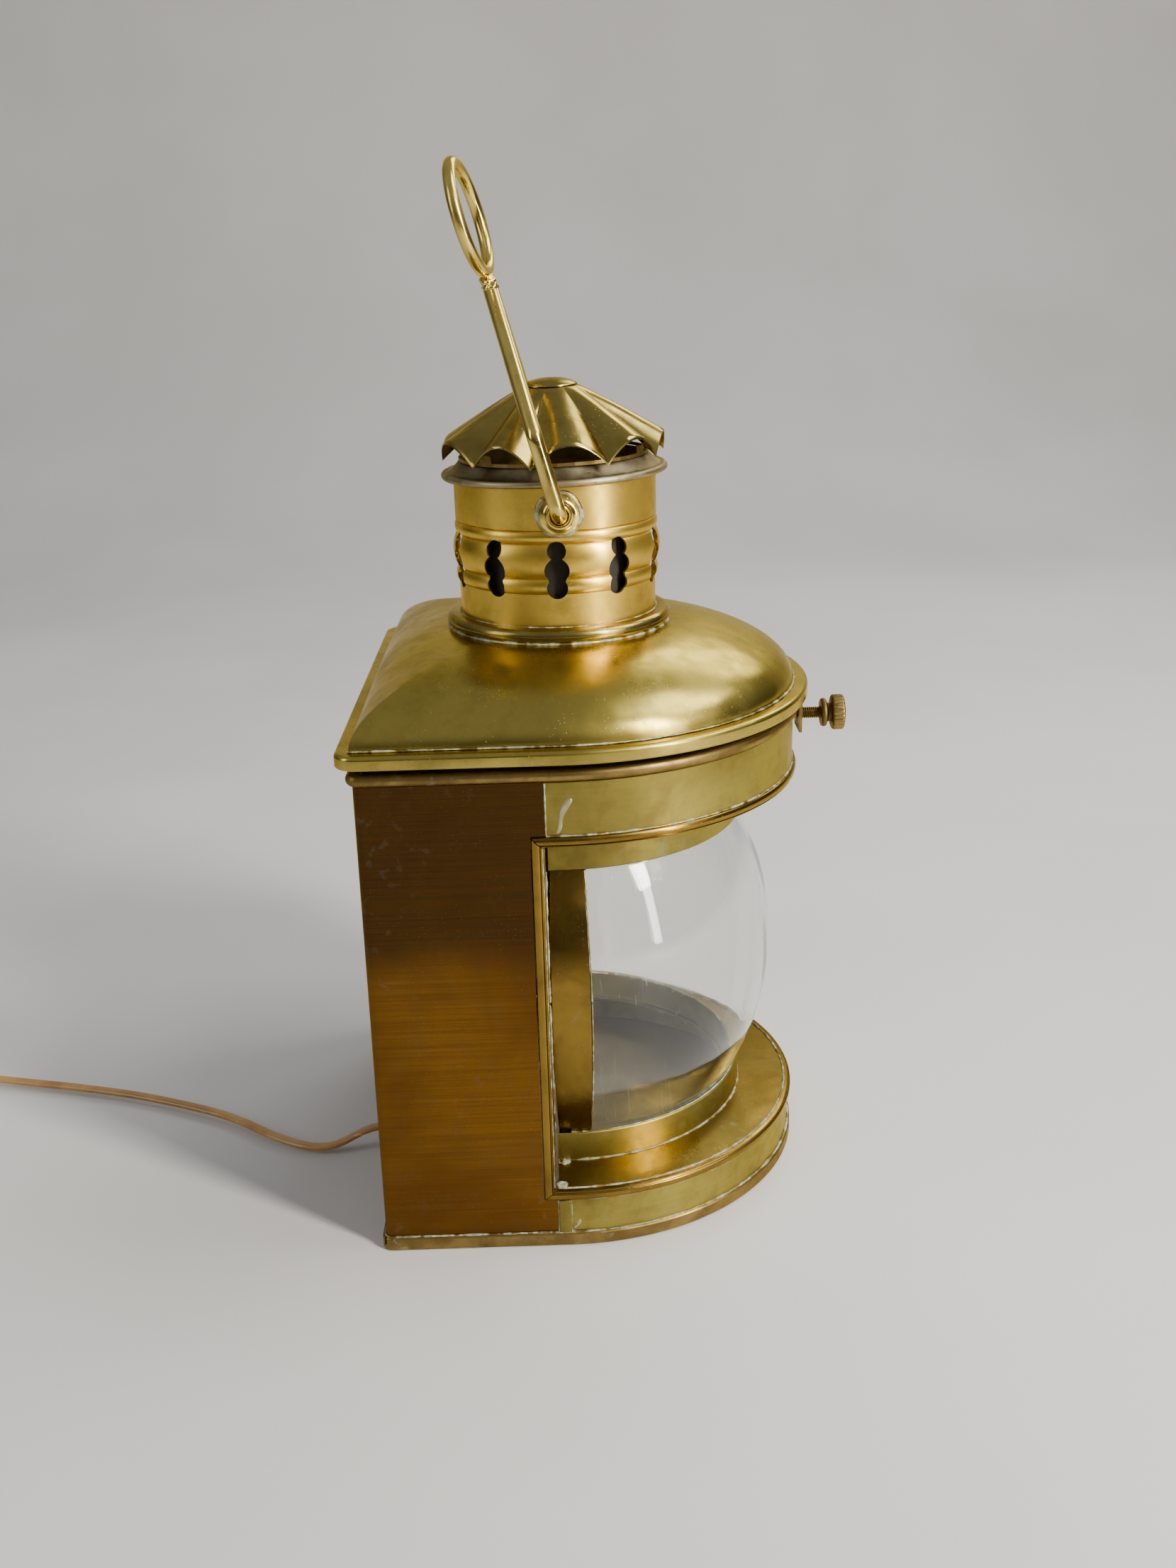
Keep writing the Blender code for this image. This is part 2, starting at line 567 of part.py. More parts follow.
def collar_radius(z):
    """Outer radius of the chimney collar, with its rolled ribs."""
    radius = COLLAR_FOOT_RADIUS if z < COLLAR_RIBS[1][0] else COLLAR_RADIUS
    for low, high, rise in COLLAR_RIBS:
        if low < z < high:
            radius = COLLAR_FOOT_RADIUS + rise * math.sin(math.pi * (z - low) / (high - low)) ** 0.7
    return radius


collar_levels = [COLLAR_BOTTOM]
for low, high, _ in COLLAR_RIBS:
    collar_levels += [low + (high - low) * k / 3 for k in range(3)]
collar_levels += [COLLAR_RIBS[-1][1], COLLAR_RIBS[-1][1] + 1.0 * MM, COLLAR_TOP]
collar_profile = [(collar_radius(z), z) for z in collar_levels]
collar_profile += [(collar_radius(z) - SHEET, z) for z in reversed(collar_levels)]
collar_mesh = revolve(collar_profile, 32, CHIMNEY_AXIS, 2.1, 362.1)
for vertex in collar_mesh.verts:
    if vertex.co.z > COLLAR_TOP - 0.1 * MM:
        vertex.co.z -= (vertex.co.y - CHIMNEY_Y) * math.tan(math.radians(CROWN_TILT_DEG))
collar = add_object("chimney_collar", collar_mesh, BRASS, parent=lid_axis)


def vent_outline():
    """Outline of three stacked, overlapping circles, as (half width, height) pairs mirrored."""
    top = max(z + r for z, r in VENT_CIRCLES)
    bottom = min(z - r for z, r in VENT_CIRCLES)
    steps = 8
    half = []
    for k in range(1, steps):
        z = bottom + (top - bottom) * (1.0 - math.cos(math.pi * k / steps)) / 2.0
        width = max(math.sqrt(max(r * r - (z - c) ** 2, 0.0)) for c, r in VENT_CIRCLES)
        half.append((width, z))
    return [(0.0, bottom)] + half + [(0.0, top)] + [(-w, z) for w, z in reversed(half)]


vents = bmesh.new()
for k in range(VENT_COUNT):
    angle = math.pi + 2.0 * math.pi * k / VENT_COUNT
    radial = Vector((math.cos(angle), math.sin(angle), 0.0))
    tangent = Vector((-radial.y, radial.x, 0.0))
    prism = [[radial * reach + tangent * t + Vector((0.0, CHIMNEY_Y, z)) for t, z in vent_outline()]
             for reach in (38.0 * MM, 58.0 * MM)]
    near = [vents.verts.new(point) for point in prism[0]]
    far = [vents.verts.new(point) for point in prism[1]]
    count = len(near)
    for i in range(count):
        j = (i + 1) % count
        vents.faces.new((near[i], near[j], far[j], far[i]))
    vents.faces.new(near[::-1])
    vents.faces.new(far)
cut(collar, "vent_cutter", vents)

for side, tag in ((-1.0, "left"), (1.0, "right")):
    x_near = side * (COLLAR_RADIUS + 1.3 * MM)
    x_far = side * (COLLAR_RADIUS + 5.6 * MM)
    profile = [(3.9 * MM, x_near), (9.0 * MM, x_near), (8.0 * MM, x_near + side * 1.2 * MM),
               (6.1 * MM, x_near + side * 2.0 * MM), (5.9 * MM, x_far - side * 0.7 * MM), (5.3 * MM, x_far),
               (4.2 * MM, x_far)]
    ferrule = turned_along_x(profile, 20, 0.0, EYELET_Z)
    bmesh.ops.rotate(ferrule, cent=(0.0, 0.0, 0.0), matrix=Matrix.Rotation(math.radians(BAIL_TWIST_DEG), 3, "Z"),
                     verts=ferrule.verts)
    bmesh.ops.translate(ferrule, vec=(0.0, CHIMNEY_Y, 0.0), verts=ferrule.verts)
    add_object("eyelet_" + tag, ferrule, BRASS_DARK, 0.4, parent=lid_axis)


def tilted(bm):
    """Lean a piece of the crown about its foot, as it was soldered on."""
    bmesh.ops.rotate(bm, cent=(0.0, CHIMNEY_Y, COLLAR_TOP), matrix=Matrix.Rotation(
        math.radians(-CROWN_TILT_DEG), 3, "X"), verts=bm.verts)
    return bm


rim_profile = [(42.6, 336.5), (48.6, 336.5), (49.6, 335.8), (51.0, 336.0), (51.9, 337.1), (51.6, 338.5),
               (50.4, 339.2), (48.6, 338.8), (45.4, 341.4), (43.6, 343.6), (42.6, 343.6)]
add_object("rim_plate", tilted(revolve([(r * MM, z * MM) for r, z in rim_profile], 30, CHIMNEY_AXIS)), BRASS_DULL,
           0.6, parent=lid_axis)


def cap_angle(station):
    """Angle of a station round the cap's edge; whole numbers are the tips between the lobes."""
    index = math.floor(station)
    here = CAP_TIPS_DEG[index % len(CAP_TIPS_DEG)]
    beyond = CAP_TIPS_DEG[(index + 1) % len(CAP_TIPS_DEG)]
    return math.radians(here + (beyond - here) % 360.0 * (station - index))


def cap_point(radius, station, drop):
    """A point on the fluted cap at a radius; the lobes grow from the crown outward."""
    angle = cap_angle(station)
    out = max(radius - CAP_CROWN_RADIUS, 0.0) / (CAP_RADIUS - CAP_CROWN_RADIUS)
    arch = math.sin(math.pi * (station - math.floor(station))) ** 0.85
    z = CAP_TOP_Z - (CAP_TOP_Z - CAP_TIP_Z) * out ** 1.12 + CAP_ARCH * arch * out ** 1.2
    return Vector((radius * math.cos(angle), radius * math.sin(angle) + CHIMNEY_Y, z - drop))


cap_stations = [k / 4 for k in range(4 * len(CAP_TIPS_DEG))]
cap_radii = [r * MM for r in (3.0, 12.0, 18.0, 28.0, 40.0)] + [CAP_RADIUS]
cap_rings = [[cap_point(r, station, 0.0) for station in cap_stations] for r in cap_radii]
cap_rings += [[cap_point(r, station, CAP_SHEET) for station in cap_stations] for r in reversed(cap_radii)]
for point in cap_rings[len(cap_radii)]:
    point.z += CAP_SHEET / 2
add_object("fluted_cap", tilted(loft(cap_rings, wrap=True)), BRASS, 0.35, parent=lid_axis)
button = [(12.4, 375.3), (12.4, 375.7), (10.6, 376.9), (7.4, 377.8), (3.0, 378.3)]
add_object("cap_button", tilted(solid_upright([(r * MM, z * MM) for r, z in button], 20, CHIMNEY_AXIS)), BRASS_DARK,
           0.4, parent=lid_axis)

# Three legs on a ring hold the cap clear of the rim plate.
stay_low = 343.9 * MM
stay_step = 345.4 * MM
stay_high = 348.6 * MM
stay = add_object("cap_stay", tilted(revolve([(42.7 * MM, stay_low), (43.5 * MM, stay_low), (43.5 * MM, stay_high),
                                              (42.7 * MM, stay_high)], 36, CHIMNEY_AXIS, 2.5, 362.5)), BRASS_DARK,
                  0.5, parent=lid_axis)
stay_gaps = bmesh.new()
for k, index in enumerate(CAP_LEG_TIPS):
    start = CAP_TIPS_DEG[index] + 5.0
    end = CAP_TIPS_DEG[CAP_LEG_TIPS[(k + 1) % len(CAP_LEG_TIPS)]] - 5.0
    end += 360.0 if end < start else 0.0
    wedge = revolve([(38.0 * MM, stay_step), (48.0 * MM, stay_step), (48.0 * MM, stay_high + 2.0 * MM),
                     (38.0 * MM, stay_high + 2.0 * MM)], 12, CHIMNEY_AXIS, start, end)
    copied = {}
    for vertex in wedge.verts:
        copied[vertex] = stay_gaps.verts.new(vertex.co)
    for face in wedge.faces:
        stay_gaps.faces.new([copied[vertex] for vertex in face.verts])
    wedge.free()
cut(stay, "stay_gap_cutter", tilted(stay_gaps))

# ---- bail -------------------------------------------------------------------


def rounded_path(corners, radius, steps):
    """Straight runs joined by arcs of one radius."""
    points = [corners[0]]
    for before, here, after in zip(corners, corners[1:], corners[2:]):
        inward = (before - here).normalized()
        outward = (after - here).normalized()
        half = inward.angle(outward) / 2.0
        reach = radius / math.tan(half)
        centre = here + (inward + outward).normalized() * radius / math.sin(half)
        start = here + inward * reach - centre
        turn = math.pi - 2.0 * half
        normal = inward.cross(outward).normalized()
        for k in range(steps + 1):
            a = -turn * k / steps
            side = normal.cross(start)
            points.append(centre + start * math.cos(a) + side * math.sin(a))
    points.append(corners[-1])
    return points


def tube(name, points, radius, resolution, colour, roughness, metallic, parent=None, cyclic=False):
    """A round rod or cord along a path, with filled ends."""
    curve = bpy.data.curves.new(name, "CURVE")
    curve.dimensions = "3D"
    curve.bevel_depth = radius
    curve.bevel_resolution = resolution
    curve.use_fill_caps = not cyclic
    spline = curve.splines.new("POLY")
    spline.points.add(len(points) - 1)
    for knot, point in zip(spline.points, points):
        knot.co = (*point, 1.0)
    spline.use_cyclic_u = cyclic
    spline.use_smooth = True
    curve.materials.append(material(name + "_finish", colour, roughness, metallic))
    obj = bpy.data.objects.new(name, curve)
    bpy.context.scene.collection.objects.link(obj)
    obj.parent = parent
    return obj


tip_x = COLLAR_RADIUS + 2.0 * MM
bail_corners = [Vector((-tip_x, 0.0, 0.0)), Vector((-BAIL_HALF_SPAN, 0.0, 0.0)),
                Vector((-BAIL_HALF_SPAN, 0.0, 36.0 * MM)), Vector((0.0, 0.0, BAIL_APEX + 4.0 * MM)),
                Vector((BAIL_HALF_SPAN, 0.0, 36.0 * MM)), Vector((BAIL_HALF_SPAN, 0.0, 0.0)),
                Vector((tip_x, 0.0, 0.0))]
tube("bail_rod", rounded_path(bail_corners, 5.5 * MM, 5), BAIL_ROD_RADIUS, 2, BRASS, 0.3, 1.0, bail_axis)
ring_centre = BAIL_APEX + 1.0 * MM + BAIL_ROD_RADIUS + BAIL_RING_ROD + BAIL_RING_RADIUS + GAP
ring_turn = Matrix.Rotation(math.radians(RING_TURN_DEG), 3, "Z")
ring_points = []
for k in range(22):
    a = 2.0 * math.pi * k / 22
    across = ring_turn @ Vector((BAIL_RING_RADIUS * math.sin(a), 0.0, 0.0))
    ring_points.append(across + Vector((0.0, 0.0, ring_centre - BAIL_RING_RADIUS * math.cos(a))))
tube("bail_ring", ring_points, BAIL_RING_ROD, 2, BRASS, 0.3, 1.0, bail_axis, cyclic=True)

# ---- lock -------------------------------------------------------------------

lug = add_object("lock_lug", box(-8.0 * MM, 8.0 * MM, LUG_Y, LUG_Y + LUG_THICK, SCREW_Z - 7.5 * MM,
                                 ROOF_LIP_BOTTOM + 4.5 * MM), BRASS_DARK, parent=lid_axis)
cut(lug, "lug_hole", solid_along_y(((SCREW_HOLE_RADIUS, LUG_Y - 5.0 * MM), (SCREW_HOLE_RADIUS, LUG_Y + 7.0 * MM)),
                                   24, 0.0, SCREW_Z))
washer_profile = [(SCREW_RADIUS + GAP, WASHER_Y), (WASHER_RADIUS - 0.5 * MM, WASHER_Y),
                  (WASHER_RADIUS, WASHER_Y - 0.6 * MM), (WASHER_RADIUS, WASHER_Y - WASHER_THICK + 0.6 * MM),
                  (WASHER_RADIUS - 0.5 * MM, WASHER_Y - WASHER_THICK), (SCREW_RADIUS + GAP, WASHER_Y - WASHER_THICK)]
add_object("screw_washer", turned_along_y(washer_profile, 22, 0.0, SCREW_Z), BRASS_DARK, 0.4, parent=screw_axis)

knurls = 20
knob_stations = [(SCREW_RADIUS - 0.6 * MM, SCREW_TIP_Y, False), (SCREW_RADIUS, SCREW_TIP_Y - 0.6 * MM, False),
                 (SCREW_RADIUS, WASHER_Y - WASHER_THICK - GAP, False),
                 (4.6 * MM, WASHER_Y - WASHER_THICK - GAP, False), (4.4 * MM, HEAD_Y, False),
                 (HEAD_RADIUS - 0.9 * MM, HEAD_Y, False), (HEAD_RADIUS, HEAD_Y - 0.9 * MM, True),
                 (HEAD_RADIUS, HEAD_Y - HEAD_LENGTH + 0.9 * MM, True),
                 (HEAD_RADIUS - 0.9 * MM, HEAD_Y - HEAD_LENGTH, False), (5.0 * MM, HEAD_Y - HEAD_LENGTH, False)]
knob_rings = []
for r, y, knurled in knob_stations:
    ring = []
    for k in range(2 * knurls):
        a = math.pi * k / knurls
        reach = r - (0.55 * MM if knurled and k % 2 else 0.0)
        ring.append(Vector((reach * math.cos(a), y, SCREW_Z + reach * math.sin(a))))
    knob_rings.append(ring)
add_object("thumb_screw", loft(knob_rings), BRASS_DARK, 0.4, parent=screw_axis)

# ---- lamp -------------------------------------------------------------------

lamp_centre = (0.0, LAMP_Y)
foot = [(23.0, 1.8), (23.0, 13.0), (21.0, 15.0), (16.0, 15.2)]
add_object("lamp_foot", solid_upright([(r * MM, z * MM) for r, z in foot], 16, lamp_centre), (0.06, 0.05, 0.045),
           0.4, 0.0)
holder = [(13.5, 15.5), (16.0, 17.0), (16.0, 22.0), (14.5, 24.0), (14.5, 44.0), (17.5, 45.0), (17.5, 58.0),
          (16.2, 58.0), (14.4, 57.0), (14.4, 47.0), (10.0, 30.0), (2.0, 29.0), (2.0, 15.5)]
add_object("lamp_holder", revolve([(r * MM, z * MM) for r, z in holder], 16, lamp_centre), BRASS_DARK, 0.4)
bulb = [(4.0, 31.0), (9.5, 32.5), (13.2, 48.0), (13.4, 56.0), (13.6, 62.0), (17.5, 70.0), (21.5, 79.0),
        (22.5, 88.0), (21.0, 97.0), (16.5, 105.0), (9.0, 109.6), (2.5, 111.0)]
add_object("lamp_bulb", solid_upright([(r * MM, z * MM) for r, z in bulb], 16, lamp_centre), (0.92, 0.92, 0.88),
           0.1, 0.0)

# ---- mains flex -------------------------------------------------------------

grommet = [(4.3, 82.0), (6.0, 82.6), (6.0, 84.5), (4.3, 84.5), (4.3, 86.3), (6.6, 86.3), (6.4, 88.2), (4.6, 90.4)]
add_object("cord_grommet", solid_along_y([(r * MM, y * MM) for r, y in grommet], 18, CORD_EXIT_X, CORD_EXIT_Z),
           (0.03, 0.03, 0.03), 0.6, 0.0)

# Turning points of the flex, in millimetres: from the grommet to the coil, and from the coil to the plug.
cord_controls = [(-26.0, 90.9, 13.5), (-26.0, 97.0, 13.4), (-26.3, 106.0, 10.7), (-26.9, 116.0, 5.6),
                 (-27.4, 124.0, 3.3),
                 (-25.3, 136.0, 2.9), (-14.8, 154.0, 2.9), (0.4, 173.0, 2.9), (12.3, 192.0, 2.9),
                 (29.3, 230.0, 2.9), (41.0, 266.0, 2.9), (50.0, 304.0, 3.4), (54.5, 335.0, 5.6),
                 (56.2, 362.0, 8.4), (56.4, 388.0, 10.0)]
tail_controls = [(102.0, 438.6, 8.6), (110.0, 438.8, 7.8), (118.0, 439.0, 7.7), (126.0, 439.0, 7.9),
                 (134.2, 439.0, 8.0)]


def smooth_route(controls, spacing):
    """Catmull-Rom curve through the route's turning points, resampled at even spacing."""
    knots = [Vector(p) * MM for p in controls]
    knots = [knots[0] * 2.0 - knots[1]] + knots + [knots[-1] * 2.0 - knots[-2]]
    dense = []
    for a, b, c, d in zip(knots, knots[1:], knots[2:], knots[3:]):
        for k in range(24):
            t = k / 24
            dense.append(0.5 * ((2.0 * b) + (c - a) * t + (2.0 * a - 5.0 * b + 4.0 * c - d) * t * t
                                + (3.0 * b - a - 3.0 * c + d) * t * t * t))
    dense.append(knots[-2])
    total = sum((q - p).length for p, q in zip(dense, dense[1:]))
    count = max(2, round(total / spacing))
    route = [dense[0]]
    travelled = 0.0
    target = total / count
    for p, q in zip(dense, dense[1:]):
        step = (q - p).length
        while len(route) < count and travelled + step >= target * len(route) - 1e-9:
            share = (target * len(route) - travelled) / step
            route.append(p.lerp(q, min(max(share, 0.0), 1.0)))
        travelled += step
    route.append(dense[-1])
    return route


flex_colour = (0.45, 0.30, 0.12)
tube("cord_tube", smooth_route(cord_controls, 7.0 * MM), CORD_RADIUS, 2, flex_colour, 0.4, 0.0)
tube("cord_tail", smooth_route(tail_controls, 7.0 * MM), CORD_RADIUS, 2, flex_colour, 0.4, 0.0)

plug = [(3.4, 0.0), (4.6, 2.0), (5.0, 10.0), (7.6, 15.0), (7.6, 33.0), (7.0, 35.0)]
add_object("plug_body", solid_along_x([(r * MM, PLUG_X + x * MM) for r, x in plug], 20, PLUG_Y, PLUG_Z),
           (0.04, 0.035, 0.03), 0.4, 0.0)
for side, tag in ((-1.0, "a"), (1.0, "b")):
    pin = [(2.0, 35.3), (2.0, 52.0), (1.2, 53.6)]
    add_object("plug_pin_" + tag, solid_along_x([(r * MM, PLUG_X + x * MM) for r, x in pin], 12,
                                                PLUG_Y + side * 4.2 * MM, PLUG_Z), (0.75, 0.72, 0.6), 0.25)

coil_profile = [(COIL_RADIUS + COIL_BUNDLE_RADIUS * math.cos(2.0 * math.pi * k / 10),
                 COIL_Z + COIL_BUNDLE_RADIUS * math.sin(2.0 * math.pi * k / 10)) for k in range(10)]
add_object("cord_coil", revolve(coil_profile, 24, (COIL_X, COIL_Y)), flex_colour, 0.4, 0.0)
tie_inner = COIL_BUNDLE_RADIUS + 2.0 * GAP
tie_profile = [(tie_inner, -2.0 * MM), (tie_inner + 0.4 * MM, -2.0 * MM), (tie_inner + 0.4 * MM, 2.0 * MM),
               (tie_inner, 2.0 * MM)]
tie = turned_along_y(tie_profile, 16, COIL_X + COIL_RADIUS, COIL_Z)
bmesh.ops.translate(tie, vec=(0.0, COIL_Y, 0.0), verts=tie.verts)
add_object("cord_tie", tie, (0.05, 0.05, 0.05), 0.5, 0.0)
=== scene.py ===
import json
import math

import bmesh
import bpy
from mathutils import Matrix, Vector, noise


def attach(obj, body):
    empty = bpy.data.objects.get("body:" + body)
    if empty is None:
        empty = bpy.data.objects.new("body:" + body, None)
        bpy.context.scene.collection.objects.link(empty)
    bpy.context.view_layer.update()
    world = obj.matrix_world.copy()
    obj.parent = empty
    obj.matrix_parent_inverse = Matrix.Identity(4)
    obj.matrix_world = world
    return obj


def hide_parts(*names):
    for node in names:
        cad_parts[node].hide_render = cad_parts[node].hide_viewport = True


MM = 0.001
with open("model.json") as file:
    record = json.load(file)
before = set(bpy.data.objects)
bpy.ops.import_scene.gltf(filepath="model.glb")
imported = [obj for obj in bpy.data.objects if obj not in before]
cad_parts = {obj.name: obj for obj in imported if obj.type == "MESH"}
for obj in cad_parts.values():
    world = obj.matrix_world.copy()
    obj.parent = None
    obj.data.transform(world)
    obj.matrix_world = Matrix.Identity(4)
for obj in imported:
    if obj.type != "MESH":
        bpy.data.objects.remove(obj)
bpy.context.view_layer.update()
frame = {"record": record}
record = frame["record"]
node_body = {node: body for body, nodes in record["behaviour"]["bodies"].items() for node in nodes}

# ---- sizes shared with the solids -------------------------------------------

GAP = 0.3 * MM
HALF_WIDTH = 112.0 * MM
BACK_Y = 86.0 * MM
SHEET = 1.2 * MM
CORNER_RADIUS = 3.5 * MM
MIN_CORNER_RADIUS = 0.4 * MM
CORNER_STEPS = 10
ARC_STEPS = 120
BASE_FLOOR_Z = 1.5 * MM
BASE_LIP_Z = 6.0 * MM
BASE_LIP_OUT = 1.6 * MM
LOWER_BAND_TOP = 23.0 * MM
UPPER_BAND_BOTTOM = 200.0 * MM
UPPER_BAND_TOP = 223.7 * MM
RIM_BEAD_Z = 226.9 * MM
RIM_BEAD_RADIUS = 2.9 * MM
SEAM_Y = 6.0 * MM
WINDOW_BACK_Y = 12.8 * MM
BEAD_HEIGHT = 4.7 * MM
BEAD_OUT = 1.8 * MM
SILL_Z = 26.6 * MM
HEADER_Z = 195.0 * MM
SEAT_RADIUS = 86.7 * MM
LOWER_SEAT_TOP = 42.0 * MM
UPPER_SEAT_BOTTOM = 174.0 * MM
PLATE_INNER_RADIUS = 81.0 * MM
STRAP_WIDTH = 5.5 * MM
GLASS_NECK_RADIUS = 85.2 * MM
GLASS_BULGE = 16.5 * MM
GLASS_WALL = 2.6 * MM
GLASS_EDGE_DEG = 6.7
CHEEK_FRONT_DEG = 6.3
CHEEK_BACK_DEG = 3.6
REVEAL_Y = 7.3 * MM
REVEAL_SHEET = 1.0 * MM
ROOF_OVERHANG = 6.7 * MM
ROOF_LIP_BOTTOM = 233.0 * MM
ROOF_TOP = 239.0 * MM
DOME_TOP = 267.0 * MM
DOME_TOP_RADIUS = 50.0 * MM
CHIMNEY_Y = -1.8 * MM
CHIMNEY_AXIS = (0.0, CHIMNEY_Y)
COLLAR_RADIUS = 46.4 * MM
COLLAR_FOOT_RADIUS = 45.6 * MM
COLLAR_BOTTOM = 263.0 * MM
COLLAR_TOP = 336.2 * MM
BASE_RING_RADIUS = 52.4 * MM
VENT_COUNT = 10
VENT_CIRCLES = ((307.9 * MM, 4.2 * MM), (299.2 * MM, 5.6 * MM), (291.2 * MM, 4.7 * MM))
COLLAR_RIBS = ((288.5 * MM, 295.5 * MM, 1.3 * MM), (295.5 * MM, 311.0 * MM, 2.3 * MM),
               (311.0 * MM, 316.5 * MM, 1.3 * MM))
CAP_RADIUS = 50.8 * MM
CAP_CROWN_RADIUS = 12.0 * MM
CAP_TIP_Z = 344.6 * MM
CAP_ARCH = 9.5 * MM
CAP_TOP_Z = 375.0 * MM
CAP_SHEET = 1.1 * MM
CAP_TIPS_DEG = (2.5, 46.3, 90.0, 136.5, 168.6, 208.0, 244.0, 275.0, 318.7)
CROWN_TILT_DEG = 1.2
EYELET_Z = 324.0 * MM
BAIL_LEAN_DEG = 15.4
BAIL_TWIST_DEG = 2.0
RING_TURN_DEG = -10.0
BAIL_ROD_RADIUS = 3.5 * MM
BAIL_HALF_SPAN = 58.0 * MM
BAIL_APEX = 96.0 * MM
BAIL_RING_RADIUS = 23.5 * MM
BAIL_RING_ROD = 3.0 * MM
RING_CLEARANCE = 0.15 * MM
SCREW_Z = 217.5 * MM
SCREW_RADIUS = 2.9 * MM
SCREW_HOLE_RADIUS = 3.3 * MM
SCREW_TIP_Y = -114.7 * MM
WASHER_Y = -126.5 * MM
WASHER_THICK = 2.7 * MM
WASHER_RADIUS = 6.9 * MM
HEAD_Y = -131.5 * MM
LUG_Y = -116.6 * MM
LUG_THICK = 1.4 * MM
LAMP_AXIS = (0.0, 40.0 * MM)
CORD_EXIT_X = -26.0 * MM
CORD_EXIT_Z = 13.5 * MM
COIL_CENTRE = Vector((100.0, 395.0, 10.9)) * MM
COIL_RADIUS = 31.0 * MM
COIL_SLOT = 6.8 * MM
PLUG_X = 134.5 * MM
PLUG_Y = 439.0 * MM
PLUG_Z = 8.0 * MM
PIN_OUT = 4.2 * MM


# ---- mesh helpers -----------------------------------------------------------

def loft(rings, wrap=False):
    """Skin closed rings of equal length."""
    bm = bmesh.new()
    grid = [[bm.verts.new(point) for point in ring] for ring in rings]
    count = len(grid[0])
    pairs = list(zip(grid, grid[1:]))
    if wrap:
        pairs.append((grid[-1], grid[0]))
    for low, high in pairs:
        for i in range(count):
            j = (i + 1) % count
            bm.faces.new((low[i], low[j], high[j], high[i]))
    if not wrap:
        bm.faces.new(grid[0][::-1])
        bm.faces.new(grid[-1])
    return bm


def joined(*meshes):
    """Several meshes in one."""
    whole = bmesh.new()
    for bm in meshes:
        copied = {vertex: whole.verts.new(vertex.co) for vertex in bm.verts}
        for face in bm.faces:
            whole.faces.new([copied[vertex] for vertex in face.verts])
        bm.free()
    return whole


def mm(pairs, shift=0.0):
    """Pairs given in millimetres, with the second of each moved by shift."""
    return [(a * MM, shift + b * MM) for a, b in pairs]


def arc(centre, radius, start_deg, end_deg, steps, z):
    """Points along a level arc."""
    angles = [math.radians(start_deg + (end_deg - start_deg) * k / steps) for k in range(steps + 1)]
    return [Vector((centre[0] + radius * math.cos(a), centre[1] + radius * math.sin(a), z)) for a in angles]


def circle(radius, count, z, centre):
    """Points round a level circle."""
    return arc(centre, radius, 0.0, 360.0, count, z)[:-1]


def plan_outline(offset, z):
    """The D plan of the case, moved outward by offset."""
    wide = HALF_WIDTH + offset
    radius = max(CORNER_RADIUS + offset, MIN_CORNER_RADIUS)
    x, y = wide - radius, BACK_Y + offset - radius
    return (arc((-x, y), radius, 90.0, 180.0, CORNER_STEPS, z) + arc((0.0, 0.0), wide, 180.0, 360.0, ARC_STEPS, z)
            + arc((x, y), radius, 0.0, 90.0, CORNER_STEPS, z))


def plan_ring(section):
    """A closed moulding that follows the whole D plan."""
    return loft([plan_outline(offset, z) for offset, z in section], wrap=True)


def front_path(offset, z, end_y):
    """Points along the half-circle front with straight ends."""
    wide = HALF_WIDTH + offset
    front = arc((0.0, 0.0), wide, 180.0, 360.0, ARC_STEPS, z)
    return [Vector((-wide, end_y, z))] + front + [Vector((wide, end_y, z))]


def front_strip(section, end_y=SEAM_Y):
    """A moulding round the half-circle front."""
    return loft(zip(*[front_path(offset, z, end_y) for offset, z in section]))


def rectangle(low, high, bottom, top, ease=0.25 * MM):
    """A flat strip section with eased corners."""
    e = min(ease, (high - low) / 3, (top - bottom) / 3)
    return [(low + e, bottom), (high - e, bottom), (high, bottom + e), (high, top - e), (high - e, top),
            (low + e, top), (low, top - e), (low, bottom + e)]


def revolve(profile, steps, centre=(0.0, 0.0), start_deg=0.0, end_deg=360.0):
    """Turn a closed (radius, height) profile about the vertical through centre."""
    full = end_deg - start_deg >= 360.0
    rings = []
    for k in range(steps if full else steps + 1):
        a = math.radians(start_deg + (end_deg - start_deg) * k / steps)
        rings.append([Vector((centre[0] + r * math.cos(a), centre[1] + r * math.sin(a), z)) for r, z in profile])
    return loft(rings, wrap=full)


def turned(profile, steps, axis, centre, closed=True):
    """Turn a (radius, distance) profile about an axis parallel to X or Y through centre."""
    rings = []
    for k in range(steps):
        a = 2.0 * math.pi * k / steps
        offsets = [(t, r * math.cos(a), centre[2] + r * math.sin(a)) for r, t in profile]
        rings.append([Vector((centre[0] + c, t, z) if axis == "y" else (t, centre[1] + c, z)) for t, c, z in offsets])
    return loft(rings, wrap=True) if closed else loft(zip(*rings))


def bore(radius, x, z, y_low, y_high):
    """A cylinder along Y that cuts a hole."""
    return turned([(radius, y_low), (radius, y_high)], 40, "y", (x, 0.0, z), closed=False)


def upright(stations, steps, centre):
    """A solid turned part standing upright; stations holds (radius, z) pairs."""
    return loft([circle(r, steps, z, centre) for r, z in stations])


def spline(line, steps):
    """Catmull-Rom points from the second knot of a line to the last but one, which is left out."""
    points = []
    for a, b, c, d in zip(line, line[1:], line[2:], line[3:]):
        for k in range(steps):
            t = k / steps
            points.append(0.5 * ((2.0 * b) + (c - a) * t + (2.0 * a - 5.0 * b + 4.0 * c - d) * t * t
                                 + (3.0 * b - a - 3.0 * c + d) * t * t * t))
    return points


def extended(knots):
    """Knots with one more beyond each end."""
    return [knots[0] * 2.0 - knots[1]] + knots + [knots[-1] * 2.0 - knots[-2]]


